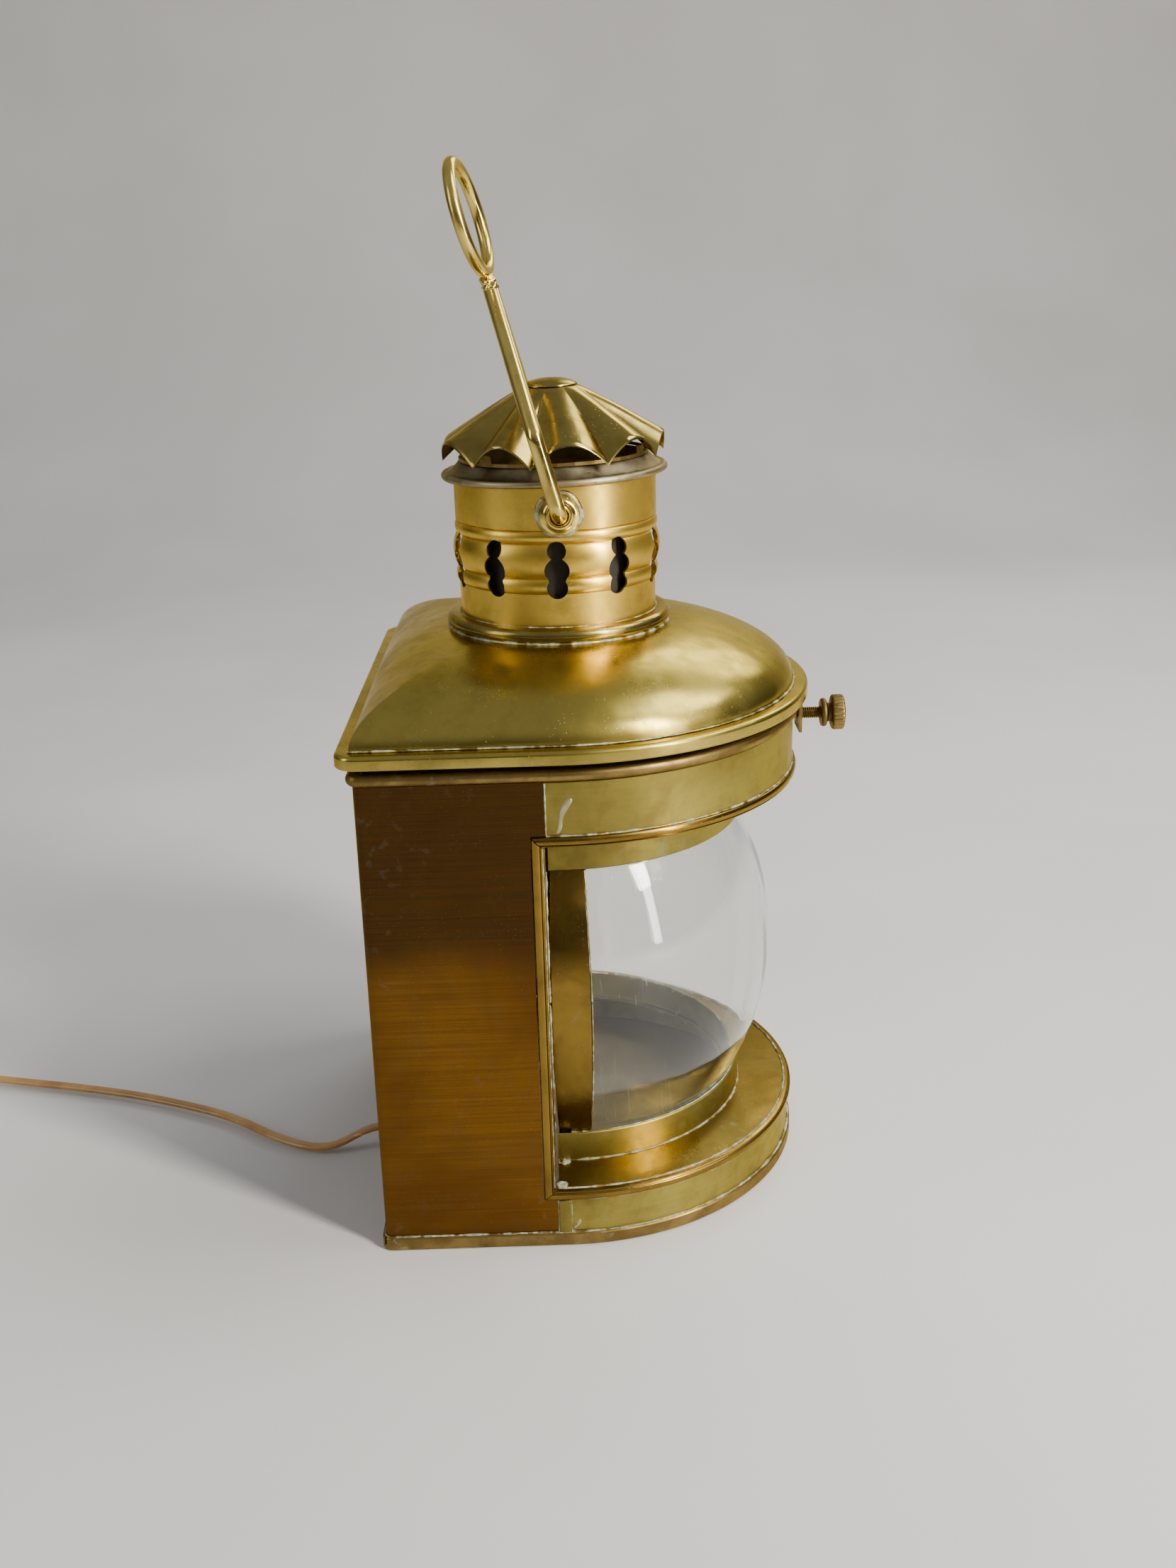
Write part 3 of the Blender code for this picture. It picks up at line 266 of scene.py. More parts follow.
def smooth_profile(points, steps, closed=False):
    """Catmull-Rom curve through (a, b) pairs."""
    knots = [Vector((a, b, 0.0)) for a, b in points]
    if closed:
        curve = spline([knots[-1]] + knots + knots[:2], steps)
    else:
        curve = spline(extended(knots), steps) + knots[-1:]
    return [(p.x, p.y) for p in curve]


def smooth_route(controls, spacing):
    """Catmull-Rom curve through a route's turning points, resampled at even spacing."""
    knots = [Vector(p) * MM for p in controls]
    return evenly(spline(extended(knots), 24) + knots[-1:], spacing)


def evenly(line, spacing):
    """The same line with points at even spacing."""
    total = sum((q - p).length for p, q in zip(line, line[1:]))
    count = max(2, round(total / spacing))
    route = [line[0]]
    travelled = 0.0
    for p, q in zip(line, line[1:]):
        step = (q - p).length
        while len(route) < count and travelled + step >= total / count * len(route) - 1e-9:
            route.append(p.lerp(q, min(max((total / count * len(route) - travelled) / step, 0.0), 1.0)))
        travelled += step
    route.append(line[-1])
    return route


def extrude(outline, low, high, axis="x"):
    """A prism along X from (y, z) points, or along Y from (x, z) points."""
    return loft([[Vector((t, a, b) if axis == "x" else (a, t, b)) for a, b in outline] for t in (low, high)])


def box(x_low, x_high, y_low, y_high, z_low, z_high):
    """A rectangular block."""
    return extrude([(y_low, z_low), (y_high, z_low), (y_high, z_high), (y_low, z_high)], x_low, x_high)


def swept(points, section, closed=False, up=Vector((0.0, 0.0, 1.0))):
    """Sweep a section along a path; section(k) gives (side, up) pairs at point k."""
    rings = []
    count = len(points)
    for k, here in enumerate(points):
        before = points[k - 1] if k or closed else here
        after = points[(k + 1) % count] if k < count - 1 or closed else here
        along = (after - before).normalized()
        side = along.cross(up)
        side = side.normalized() if side.length > 0.05 else along.cross(Vector((1.0, 0.0, 0.0))).normalized()
        lift = side.cross(along)
        rings.append([here + side * a + lift * b for a, b in section(k)])
    return loft(rings, wrap=closed)


def round_section(radius, sides, ripple=0.0, seed=0.0, flat=1.0):
    """Circular section whose radius wanders along the path, as hand-run solder does."""
    def section(k):
        r = radius * (1.0 + ripple * noise.noise(Vector((k * 0.37 + seed, seed, 0.3))))
        return [(r * math.cos(2.0 * math.pi * i / sides), flat * r * math.sin(2.0 * math.pi * i / sides))
                for i in range(sides)]
    return section


# ---- materials --------------------------------------------------------------

class Surface:
    """A small helper for building one node material."""

    def __init__(self, name):
        self.mat = bpy.data.materials.new(name)
        self.mat.use_nodes = True
        self.tree = self.mat.node_tree
        self.shader = self.tree.nodes["Principled BSDF"]
        self.coords = self.tree.nodes.new("ShaderNodeTexCoord").outputs["Object"]

    def put(self, node, index, value):
        if hasattr(value, "is_linked"):
            self.tree.links.new(value, node.inputs[index])
        elif isinstance(value, tuple) and len(value) == 3 and node.inputs[index].type == "RGBA":
            node.inputs[index].default_value = (*value, 1.0)
        else:
            node.inputs[index].default_value = value

    def new(self, kind, inputs=None, **settings):
        node = self.tree.nodes.new(kind)
        for key, value in settings.items():
            setattr(node, key, value)
        for index, value in (inputs or {}).items():
            self.put(node, index, value)
        return node

    def scaled(self, scale, rotation=(0.0, 0.0, 0.0)):
        return self.new("ShaderNodeMapping", {0: self.coords, 2: rotation, 3: scale}).outputs[0]

    def noise(self, scale, detail=3.0, roughness=0.55, vector=None, distortion=0.0):
        node = self.new("ShaderNodeTexNoise", {"Vector": vector or self.coords, "Scale": scale, "Detail": detail,
                                               "Roughness": roughness, "Distortion": distortion})
        return node.outputs[0]

    def cells(self, scale):
        return self.new("ShaderNodeTexVoronoi", {"Vector": self.coords, "Scale": scale}).outputs["Distance"]

    def span(self, value, low, high, to_low=0.0, to_high=1.0):
        node = self.new("ShaderNodeMapRange", {0: value, 1: low, 2: high, 3: to_low, 4: to_high},
                        interpolation_type="SMOOTHSTEP")
        return node.outputs[0]

    def math(self, operation, a, b=0.0):
        return self.new("ShaderNodeMath", {0: a, 1: b}, operation=operation).outputs[0]

    def times(self, a, b):
        return self.math("MULTIPLY", a, b)

    def plus(self, a, b):
        return self.math("ADD", a, b)

    def mix(self, share, a, b):
        node = self.new("ShaderNodeMix", {0: share, 6: a, 7: b}, data_type="RGBA")
        return node.outputs[2]

    def axis(self, index):
        return self.new("ShaderNodeSeparateXYZ", {0: self.coords}).outputs[index]

    def bump(self, height, distance, strength=1.0, normal=None):
        inputs = {"Strength": strength, "Distance": distance, "Height": height}
        if normal is not None:
            inputs["Normal"] = normal
        return self.new("ShaderNodeBump", inputs).outputs[0]

    def finish(self, colour, roughness, metallic=0.0, normal=None, **more):
        self.put(self.shader, "Base Color", colour)
        self.put(self.shader, "Roughness", roughness)
        self.put(self.shader, "Metallic", metallic)
        if normal is not None:
            self.put(self.shader, "Normal", normal)
        for key, value in more.items():
            self.put(self.shader, key.replace("_", " "), value)
        return self.mat


def brass(name, clean, aged, tarnish, roughness, spread=0.14, share=0.5, brushed=0.0, dents=0.5, specks=0.5,
          verdigris=0.5, cloud_scale=17.0, pits=0.3, upper=None):
    """Aged sheet brass: clouded tarnish, fine brushing, dust specks, grime and a little verdigris.

    With an upper colour, everything above the middle of the wall is painted towards that colour, a painted dark
    reflection of the room beyond.
    Highlights draw out into upright streaks, as on metal polished round the Z axis.
    """
    s = Surface(name)
    clouds = s.span(s.noise(cloud_scale, 4.0, 0.55, distortion=0.6), 0.38, 0.66)
    small = s.span(s.noise(95.0, 3.0, 0.6), 0.42, 0.72)
    colour = s.mix(s.times(clouds, share), clean, aged)
    colour = s.mix(s.times(small, 0.35 * share + 0.08), colour, tarnish)
    # Painted reflection: the top of the wall is darkened towards the upper colour, standing in for the dark
    # surroundings it reflects.
    if upper is not None:
        level = s.plus(s.axis(2), s.times(s.noise(9.0, 2.0), 0.040))
        colour = s.mix(s.times(s.span(level, 0.148, 0.176), 0.86), colour, upper)
    strokes = s.noise(1.0, 3.0, 0.6, s.scaled((12.0, 12.0, 1500.0)))
    if brushed:
        colour = s.mix(s.times(s.span(strokes, 0.35, 0.65), 0.45 * brushed), colour, aged)
    spots = s.times(s.span(s.cells(620.0), 0.16, 0.05), s.span(s.noise(60.0, 2.0), 0.48, 0.62))
    colour = s.mix(s.times(spots, 0.55 * specks), colour, DUST)
    dark = s.times(s.span(s.cells(240.0), 0.12, 0.04), s.span(s.noise(34.0, 2.0), 0.54, 0.66))
    colour = s.mix(s.times(dark, pits), colour, GRIME)
    green = s.times(s.span(s.noise(170.0, 3.0), 0.56, 0.64), s.span(s.noise(21.0, 2.0), 0.58, 0.68))
    green = s.times(green, 0.6 * verdigris)
    colour = s.mix(green, colour, VERDIGRIS)
    rough = s.plus(roughness, s.times(clouds, spread))
    rough = s.plus(rough, s.times(small, spread * 0.5))
    rough = s.plus(rough, s.times(strokes, 0.12 * brushed))
    rough = s.plus(rough, s.times(s.plus(green, spots), 0.35))
    metal = s.span(green, 0.1, 0.9, 1.0, 0.5)
    normal = s.bump(s.noise(26.0, 2.0, 0.45), 0.0016 * dents)
    grain = s.plus(s.times(strokes, 0.6 * brushed + 0.05), s.times(s.noise(900.0, 2.0), 0.35))
    normal = s.bump(grain, 0.00006, 0.55, normal)
    normal = s.bump(s.math("SUBTRACT", s.times(spots, 0.5), dark), 0.00010, 0.6, normal)
    s.put(s.shader, "Specular Tint", (1.0, 0.84, 0.50))
    round_axis = s.new("ShaderNodeTangent", direction_type="RADIAL", axis="Z").outputs[0]
    return s.finish(colour, rough, metal, normal, Anisotropic=grain, Anisotropic_Rotation=0.25, Tangent=round_axis)


GOLD = (0.35, 0.285, 0.062)
BROWN = (0.14, 0.08, 0.022)
DUST = (0.72, 0.66, 0.44)
GRIME = (0.06, 0.04, 0.015)
VERDIGRIS = (0.30, 0.34, 0.24)

# The upper colour given to the side panel paints a dark reflection on the top of its wall.
side_brass = brass("brass_side_panel", (0.185, 0.085, 0.013), (0.105, 0.044, 0.009), BROWN, 0.19, 0.10, 0.75,
                   brushed=1.0, dents=0.25, specks=0.25, verdigris=0.1, cloud_scale=11.0, upper=(0.038, 0.022, 0.009))
front_brass = brass("brass_front_bands", GOLD, (0.17, 0.13, 0.030), BROWN, 0.34, 0.12, 0.75, brushed=0.35, dents=0.4,
                    verdigris=0.3)
inner_brass = brass("brass_window_plates", (0.27, 0.18, 0.036), (0.17, 0.12, 0.03), BROWN, 0.20, 0.16, 0.9,
                    brushed=0.2, verdigris=0.7)
bead_brass = brass("brass_moulding", (0.26, 0.165, 0.030), (0.14, 0.085, 0.018), BROWN, 0.16, 0.14, 0.8, dents=0.2,
                   verdigris=0.7)
dome_brass = brass("brass_cushion_roof", (0.48, 0.375, 0.080), (0.34, 0.265, 0.056), (0.20, 0.135, 0.034), 0.20,
                   0.12, 0.8, dents=0.9, specks=0.9, verdigris=0.12, cloud_scale=13.0)
collar_brass = brass("brass_chimney", (0.78, 0.53, 0.08), (0.52, 0.34, 0.055), BROWN, 0.25, 0.12, 0.6, brushed=0.2,
                     dents=0.7, specks=0.4, verdigris=0.2)
cap_brass = brass("brass_fluted_cap", (0.38, 0.29, 0.075), (0.24, 0.18, 0.05), (0.13, 0.09, 0.03), 0.17, 0.13, 0.9,
                  dents=0.8, specks=0.7, verdigris=0.15, cloud_scale=24.0)
rod_brass = brass("brass_bail", (0.78, 0.60, 0.16), (0.50, 0.36, 0.08), BROWN, 0.12, 0.15, 0.6, dents=0.35,
                  specks=0.6, verdigris=0.4, cloud_scale=40.0)
knob_brass = brass("brass_lock_screw", (0.27, 0.19, 0.06), (0.15, 0.10, 0.035), (0.07, 0.05, 0.02), 0.30, 0.20, 1.0,
                   dents=0.4, specks=0.6, verdigris=0.9, cloud_scale=70.0, pits=0.7)
dark_brass = brass("brass_hardware", (0.28, 0.19, 0.06), (0.17, 0.11, 0.035), (0.08, 0.055, 0.02), 0.32, 0.18, 1.0,
                   dents=0.4, verdigris=0.7, cloud_scale=45.0, pits=0.6)
dull_brass = brass("brass_rim_plate", (0.32, 0.26, 0.14), (0.21, 0.17, 0.10), (0.38, 0.35, 0.26), 0.38, 0.22, 1.0,
                   dents=0.7, specks=1.0, verdigris=1.0, cloud_scale=60.0, pits=0.6)


def shade_black_material():
    """Almost black sheet, painted shade for the hidden pieces inside the roof lip and behind the vent holes."""
    s = Surface("sooted_sheet")
    colour = s.mix(s.span(s.noise(60.0, 3.0), 0.35, 0.65), (0.010, 0.009, 0.007), (0.030, 0.024, 0.015))
    return s.finish(colour, 0.75, 0.1, s.bump(s.noise(900.0), 0.0001, 0.5))


def dark_floor_material():
    """Very dark floor inside the lantern, with fine scratches and dust."""
    s = Surface("floor_film")
    cloudy = s.span(s.noise(38.0, 4.0), 0.35, 0.65)
    colour = s.mix(cloudy, (0.045, 0.033, 0.016), (0.075, 0.056, 0.028))
    scratch = s.span(s.noise(1.0, 2.0, 0.5, s.scaled((14.0, 1100.0, 1.0), (0.0, 0.0, 0.5))), 0.66, 0.72)
    colour = s.mix(s.times(scratch, 0.5), colour, (0.26, 0.22, 0.15))
    dust = s.times(s.span(s.cells(520.0), 0.12, 0.04), s.span(s.noise(45.0, 2.0), 0.52, 0.66))
    colour = s.mix(s.times(dust, 0.6), colour, (0.42, 0.38, 0.28))
    return s.finish(colour, s.span(cloudy, 0.0, 1.0, 0.58, 0.72), 0.1, s.bump(scratch, 0.0001, 0.4))


def solder_material():
    """Old solder and verdigris along a joint, broken up so brass shows between."""
    s = Surface("solder_patina")
    broken = s.span(s.noise(150.0, 4.0, 0.6), 0.42, 0.60)
    pale = s.mix(s.span(s.noise(420.0, 3.0), 0.40, 0.65), (0.24, 0.27, 0.18), (0.46, 0.47, 0.37))
    colour = s.mix(broken, pale, (0.28, 0.20, 0.06))
    normal = s.bump(s.noise(1500.0, 3.0), 0.0002, 0.6)
    return s.finish(colour, s.span(broken, 0.0, 1.0, 0.62, 0.34), s.span(broken, 0.0, 1.0, 0.25, 0.95), normal)


def smear_material():
    """Flat tinned smear with a brushed, greyish gold face."""
    s = Surface("solder_smear")
    colour = s.mix(s.span(s.noise(160.0, 4.0), 0.35, 0.65), (0.36, 0.31, 0.16), (0.50, 0.46, 0.32))
    normal = s.bump(s.noise(700.0, 4.0), 0.00015, 0.6)
    return s.finish(colour, s.span(s.noise(90.0), 0.3, 0.7, 0.32, 0.55), 0.85, normal)


def glass_material():
    """Clear glass with faint waves, scratches and dust that lets shadow rays through."""
    s = Surface("clear_window_glass")
    scratch = s.noise(1.0, 2.0, 0.5, s.scaled((700.0, 700.0, 26.0), (0.6, 0.2, 0.4)))
    scratch = s.times(s.span(scratch, 0.70, 0.75), s.span(s.noise(18.0), 0.50, 0.62))
    dust = s.times(s.span(s.cells(520.0), 0.12, 0.03), s.span(s.noise(45.0), 0.45, 0.60))
    film = s.times(s.span(s.noise(22.0, 4.0), 0.45, 0.75), 0.05)
    rough = s.plus(s.plus(film, 0.012), s.times(s.plus(scratch, dust), 0.25))
    normal = s.bump(s.noise(1.0, 1.0, 0.4, s.scaled((34.0, 34.0, 9.0))), 0.0008)
    normal = s.bump(s.math("SUBTRACT", dust, scratch), 0.00004, 0.5, normal)
    s.finish((0.97, 0.985, 0.97), rough, 0.0, normal, Transmission_Weight=1.0, IOR=1.47)
    passing = s.new("ShaderNodeBsdfTransparent", {0: (0.93, 0.95, 0.93, 1.0)})
    ray = s.new("ShaderNodeLightPath").outputs["Is Shadow Ray"]
    blend = s.new("ShaderNodeMixShader", {0: ray, 1: s.shader.outputs[0], 2: passing.outputs[0]})
    output = next(node for node in s.tree.nodes if node.type == "OUTPUT_MATERIAL")
    s.tree.links.new(blend.outputs[0], output.inputs[0])
    return s.mat


def plain_material(name, low, high, roughness, scale=60.0, grain=1200.0, depth=0.00006, **more):
    """Moulded or painted surface with mottling, scuffs and fine grain."""
    s = Surface(name)
    colour = s.mix(s.span(s.noise(scale, 4.0), 0.35, 0.68), low, high)
    scuff = s.times(s.span(s.noise(1.0, 2.0, 0.5, s.scaled((500.0, 40.0, 500.0))), 0.62, 0.72), 0.5)
    colour = s.mix(scuff, colour, tuple(min(1.0, 1.6 * c + 0.02) for c in high))
    rough = s.plus(roughness, s.times(s.noise(scale * 2, 3.0), 0.18))
    return s.finish(colour, rough, 0.0, s.bump(s.noise(grain, 3.0), depth, 0.7), **more)


solder = solder_material()
shade_black = shade_black_material()
floor_film = dark_floor_material()
smear = smear_material()
clear_glass = glass_material()
bulb_glass = plain_material("opal_bulb_glass", (0.82, 0.82, 0.78), (0.90, 0.90, 0.87), 0.10, 30.0, 400.0, 0.00002,
                            Subsurface_Weight=0.2, Subsurface_Scale=0.01)
black_plastic = plain_material("black_moulded_plastic", (0.018, 0.017, 0.016), (0.035, 0.032, 0.03), 0.34)
black_rubber = plain_material("black_rubber", (0.014, 0.014, 0.014), (0.030, 0.029, 0.028), 0.62)
tie_wire = plain_material("tie_sleeve", (0.03, 0.03, 0.03), (0.06, 0.058, 0.055), 0.5)
flex = plain_material("gold_brown_flex", (0.34, 0.17, 0.035), (0.50, 0.28, 0.07), 0.24, 45.0, 900.0, 0.00004,
                      Subsurface_Weight=0.35, Subsurface_Scale=0.003, Coat_Weight=0.3, Coat_Roughness=0.2)
pin_metal = brass("plated_plug_pins", (0.72, 0.66, 0.48), (0.55, 0.48, 0.32), (0.35, 0.28, 0.16), 0.22, 0.12, 0.6,
                  dents=0.1, specks=0.2, verdigris=0.2, cloud_scale=120.0)


# ---- piece helpers ----------------------------------------------------------

def piece(name, bm, mat, nodes=(), body=None, slot=None, angle=35.0, bevel=0.0):
    """Turn a mesh into a finished piece that rides with its body and stands for the named nodes."""
    bmesh.ops.recalc_face_normals(bm, faces=bm.faces)
    mesh = bpy.data.meshes.new(name)
    bm.to_mesh(mesh)
    bm.free()
    mesh.shade_smooth()
    mesh.set_sharp_from_angle(angle=math.radians(angle))
    mesh.materials.append(mat)
    obj = bpy.data.objects.new(name, mesh)
    bpy.context.scene.collection.objects.link(obj)
    if bevel:
        modifier = obj.modifiers.new("eased_edges", "BEVEL")
        modifier.width = bevel
        modifier.segments = 2
        modifier.limit_method = "ANGLE"
        modifier.angle_limit = math.radians(40.0)
    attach(obj, body or node_body[nodes[0]])
    if nodes:
        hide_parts(*nodes)
    return obj

def detail(node, bm, mat, **more):
    """The piece that stands for one node of the solids."""
    return piece(node + "_detail", bm, mat, (node,), **more)


def cut(obj, bm):
    """Subtract a mesh from a piece and keep the result as plain mesh."""
    bmesh.ops.recalc_face_normals(bm, faces=bm.faces)
    mesh = bpy.data.meshes.new(obj.name + "_cut")
    bm.to_mesh(mesh)
    bm.free()
    cutter = bpy.data.objects.new(obj.name + "_cut", mesh)
    bpy.context.scene.collection.objects.link(cutter)
    modifier = obj.modifiers.new("cut", "BOOLEAN")
    modifier.operation = "DIFFERENCE"
    modifier.solver = "EXACT"
    modifier.object = cutter
    bpy.context.view_layer.update()
    result = bpy.data.meshes.new_from_object(obj.evaluated_get(bpy.context.evaluated_depsgraph_get()))
    obj.modifiers.remove(modifier)
    old = obj.data
    obj.data = result
    obj.data.set_sharp_from_angle(angle=math.radians(35.0))
    bpy.data.objects.remove(cutter, do_unlink=True)
    bpy.data.meshes.remove(old)


def solder_run(name, points, radius, seed, body="case", closed=False, flat=1.0):
    """A thin run of old solder along a joint."""
    return piece(name, swept(points, round_section(radius, 8, 0.7, seed, flat), closed), solder, body=body,
                 slot="brass_dull")

# ---- camera -----------------------------------------------------------------

camera_place = Vector((-0.7400, -0.0058, 0.4367))
camera_yaw = -0.0102
camera_pitch = 0.3286
camera_roll = 0.0268
view = Vector((math.cos(camera_yaw) * math.cos(camera_pitch), math.sin(camera_yaw) * math.cos(camera_pitch),
               -math.sin(camera_pitch)))
level = Vector((math.sin(camera_yaw), -math.cos(camera_yaw), 0.0))
fall = view.cross(level)
camera_right = level * math.cos(camera_roll) + fall * math.sin(camera_roll)
camera_down = fall * math.cos(camera_roll) - level * math.sin(camera_roll)
lens = bpy.data.cameras.new("camera")
lens.sensor_fit = "VERTICAL"
lens.sensor_height = 24.0
lens.lens = 24.462
camera = bpy.data.objects.new("camera", lens)
bpy.context.scene.collection.objects.link(camera)
camera.matrix_world = Matrix.Translation(camera_place) @ Matrix(
    (camera_right, -camera_down, -view)).transposed().to_4x4()
bpy.context.scene.camera = camera

# ---- mains flex -------------------------------------------------------------

FLEX_WIDTH = 5.2 * MM
FLEX_CORE = 1.35 * MM
COIL_TURNS = 7.0
COIL_BLEND_DEG = 60.0
COIL_DIP = 1.8 * MM
cord_controls = [(-26.0, 90.9, 13.5), (-26.0, 97.0, 13.4), (-26.3, 106.0, 10.7), (-26.9, 116.0, 5.6),
                 (-27.4, 124.0, 3.3), (-25.3, 136.0, 2.9), (-14.8, 154.0, 2.9), (0.4, 173.0, 2.9),
                 (12.3, 192.0, 2.9), (29.3, 230.0, 2.9), (41.0, 266.0, 2.9), (50.0, 304.0, 3.4),
                 (54.5, 335.0, 5.6), (56.2, 362.0, 8.4), (56.4, 388.0, 10.0)]
tail_controls = [(102.0, 438.6, 8.6), (110.0, 438.8, 7.8), (118.0, 439.0, 7.7), (126.0, 439.0, 7.9),
                 (134.2, 439.0, 8.0)]


def coil_path():
    """The wound length: turns a cord's width apart, led in from the route and out to the tail."""
    entry = Vector(cord_controls[-1]) * MM - COIL_CENTRE
    leave = Vector(tail_controls[0]) * MM - COIL_CENTRE
    start = math.degrees(math.atan2(entry.y, entry.x)) % 360.0
    sweep = start - math.degrees(math.atan2(leave.y, leave.x)) + COIL_TURNS * 360.0
    count = int(sweep / 5.0)
    points = []
    for k in range(count + 1):
        t = sweep * k / count
        angle = math.radians(start - t)
        slot_angle = math.radians(t / 8.0)
        out = COIL_SLOT * math.cos(slot_angle)
        lift = COIL_SLOT * math.sin(slot_angle)
        if t < COIL_BLEND_DEG:
            share = 0.5 - 0.5 * math.cos(math.pi * t / COIL_BLEND_DEG)
            out = entry.xy.length - COIL_RADIUS + (out - entry.xy.length + COIL_RADIUS) * share
            lift = entry.z + (lift - entry.z) * share
        if t > sweep - COIL_BLEND_DEG:
            share = 0.5 - 0.5 * math.cos(math.pi * (t - sweep + COIL_BLEND_DEG) / COIL_BLEND_DEG)
            out += (leave.xy.length - COIL_RADIUS - out) * share
            lift += (leave.z - lift) * share - COIL_DIP * math.sin(math.pi * share)
        reach = COIL_RADIUS + out
        points.append(COIL_CENTRE + Vector((reach * math.cos(angle), reach * math.sin(angle), lift)))
    return points


cord_line = smooth_route(cord_controls, 5.0 * MM)[:-1] + coil_path() + smooth_route(tail_controls, 4.0 * MM)[1:]


def flex_section(k):
    """Two cores side by side in one sheath, with a groove between."""
    points = []
    for i in range(20):
        a = 2.0 * math.pi * i / 20
        across = (FLEX_WIDTH / 2 - FLEX_CORE) * (1.0 if math.cos(a) > 0 else -1.0) * min(1.0, abs(math.cos(a)) * 4.0)
        groove = 1.0 - 0.28 * math.exp(-(math.cos(a) / 0.16) ** 2)
        points.append((across + FLEX_CORE * math.cos(a), FLEX_CORE * math.sin(a) * groove))
    return points


cord = piece("mains_flex", swept(cord_line, flex_section), flex, ("cord_tube", "cord_coil", "cord_tail"), angle=60.0)

plug_profile = [(0.6, 0.0), (3.1, 0.0), (3.6, 0.5), (4.1, 2.2), (4.6, 6.0), (4.9, 9.6), (5.6, 11.4), (6.9, 13.2),
                (7.3, 14.6), (7.3, 17.0), (7.0, 17.5), (7.0, 18.4), (7.3, 18.9), (7.3, 20.6), (7.0, 21.1),
                (7.0, 22.0), (7.3, 22.5), (7.3, 24.2), (7.0, 24.7), (7.0, 25.6), (7.5, 26.2), (7.5, 33.4),
                (7.0, 34.7), (6.4, 35.0), (0.6, 35.0)]
pin_profile = [(0.4, 35.2), (1.9, 35.2), (1.9, 36.0), (2.0, 36.2), (2.0, 51.0), (1.7, 52.6), (0.9, 53.5),
               (0.3, 53.6)]
plug = detail("plug_body", turned(mm(plug_profile, PLUG_X), 48, "x", (0.0, PLUG_Y, PLUG_Z), closed=False),
              black_plastic)
pins = [detail("plug_pin_" + tag, turned(mm(pin_profile, PLUG_X), 24, "x", (0.0, y, PLUG_Z), closed=False),
               pin_metal)
        for tag, y in (("a", PLUG_Y - PIN_OUT), ("b", PLUG_Y + PIN_OUT))]
tie_centre = COIL_CENTRE + Vector((COIL_RADIUS, 0.0, 0.0))
tie_section = smooth_profile([(10.15, -1.9), (10.45, -1.6), (10.45, 1.6), (10.15, 1.9), (10.05, 1.4),
                              (10.05, -1.4)], 3, closed=True)
tie = detail("cord_tie", turned(mm(tie_section, tie_centre.y), 48, "y", tie_centre), tie_wire)

grommet_profile = [(2.9, 82.2), (4.3, 82.0), (5.6, 82.3), (6.0, 82.8), (6.0, 84.1), (5.6, 84.5), (4.3, 84.6),
                   (4.3, 86.2), (5.9, 86.3), (6.6, 86.7), (6.6, 87.4), (6.2, 88.2), (5.2, 89.2), (4.5, 90.0),
                   (4.0, 90.4), (2.9, 90.4)]
detail("cord_grommet", turned(mm(grommet_profile), 40, "y", (CORD_EXIT_X, 0.0, CORD_EXIT_Z)), black_rubber)

# ---- fixed case -------------------------------------------------------------

shell_low = BASE_FLOOR_Z + GAP
base_section = [(BASE_LIP_OUT - 0.4 * MM, 0.0), (BASE_LIP_OUT, 0.5 * MM), (BASE_LIP_OUT, BASE_LIP_Z - 0.6 * MM),
                (BASE_LIP_OUT - 0.5 * MM, BASE_LIP_Z), (GAP + 0.3 * MM, BASE_LIP_Z), (GAP, BASE_LIP_Z - 0.3 * MM),
                (GAP, BASE_FLOOR_Z)]
base = detail("base_plate", loft([plan_outline(offset, z) for offset, z in base_section]), dark_brass)
mitres = []
for side in (-1.0, 1.0):
    along = Vector((side, 1.0, 0.0)).normalized()
    across = Vector((-along.y, along.x, 0.0)) * 0.5 * MM
    outer = Vector((side * HALF_WIDTH, BACK_Y, 0.0)) + along * 4.8 * MM
    inner = outer - along * 8.0 * MM
    mitres.append(loft([[Vector((p.x, p.y, z)) for p in (outer + across, outer - across, inner - across,
                                                         inner + across)]
                        for z in (BASE_FLOOR_Z + 0.8 * MM, BASE_LIP_Z + 2.0 * MM)]))
cut(base, joined(*mitres))
piece("inner_floor", loft([plan_outline(-SHEET - 0.3 * MM, BASE_FLOOR_Z + rise * MM) for rise in (0.03, 0.25)]),
      floor_film, body="case", slot="brass_dull")


def back_line(offset):
    """Plan points of the back with its two corners, from the right-hand side to the left."""
    plan = plan_outline(offset, 0.0)
    return plan[-CORNER_STEPS - 1:] + plan[:CORNER_STEPS + 1]


shell_levels = (shell_low, UPPER_BAND_TOP, UPPER_BAND_TOP, shell_low)
shell_insets = (0.0, 0.0, SHEET, SHEET)
shell_rings = [[Vector((HALF_WIDTH - inset, SEAM_Y, z)) for inset, z in zip(shell_insets, shell_levels)]]
for outer, inner in zip(back_line(0.0), back_line(-SHEET)):
    shell_rings.append([Vector((p.x, p.y, z)) for p, z in zip((outer, outer, inner, inner), shell_levels)])
shell_rings.append([Vector((-p.x, p.y, p.z)) for p in shell_rings[0]])
cut(detail("back_shell", loft(shell_rings), side_brass),
    joined(box(-HALF_WIDTH - 10.0 * MM, HALF_WIDTH + 10.0 * MM, 0.0, WINDOW_BACK_Y, LOWER_BAND_TOP + GAP,
               UPPER_BAND_BOTTOM - GAP),
           bore(4.6 * MM, CORD_EXIT_X, CORD_EXIT_Z, BACK_Y - 6.0 * MM, BACK_Y + 6.0 * MM)))

detail("lower_band", front_strip(rectangle(-SHEET, 0.0, shell_low, LOWER_BAND_TOP), SEAM_Y - GAP), front_brass)
cut(detail("upper_band", front_strip(rectangle(-SHEET, 0.0, UPPER_BAND_BOTTOM, UPPER_BAND_TOP), SEAM_Y - GAP),
           front_brass),
    bore(SCREW_HOLE_RADIUS, 0.0, SCREW_Z, -HALF_WIDTH - 5.0 * MM, -HALF_WIDTH + 5.0 * MM))


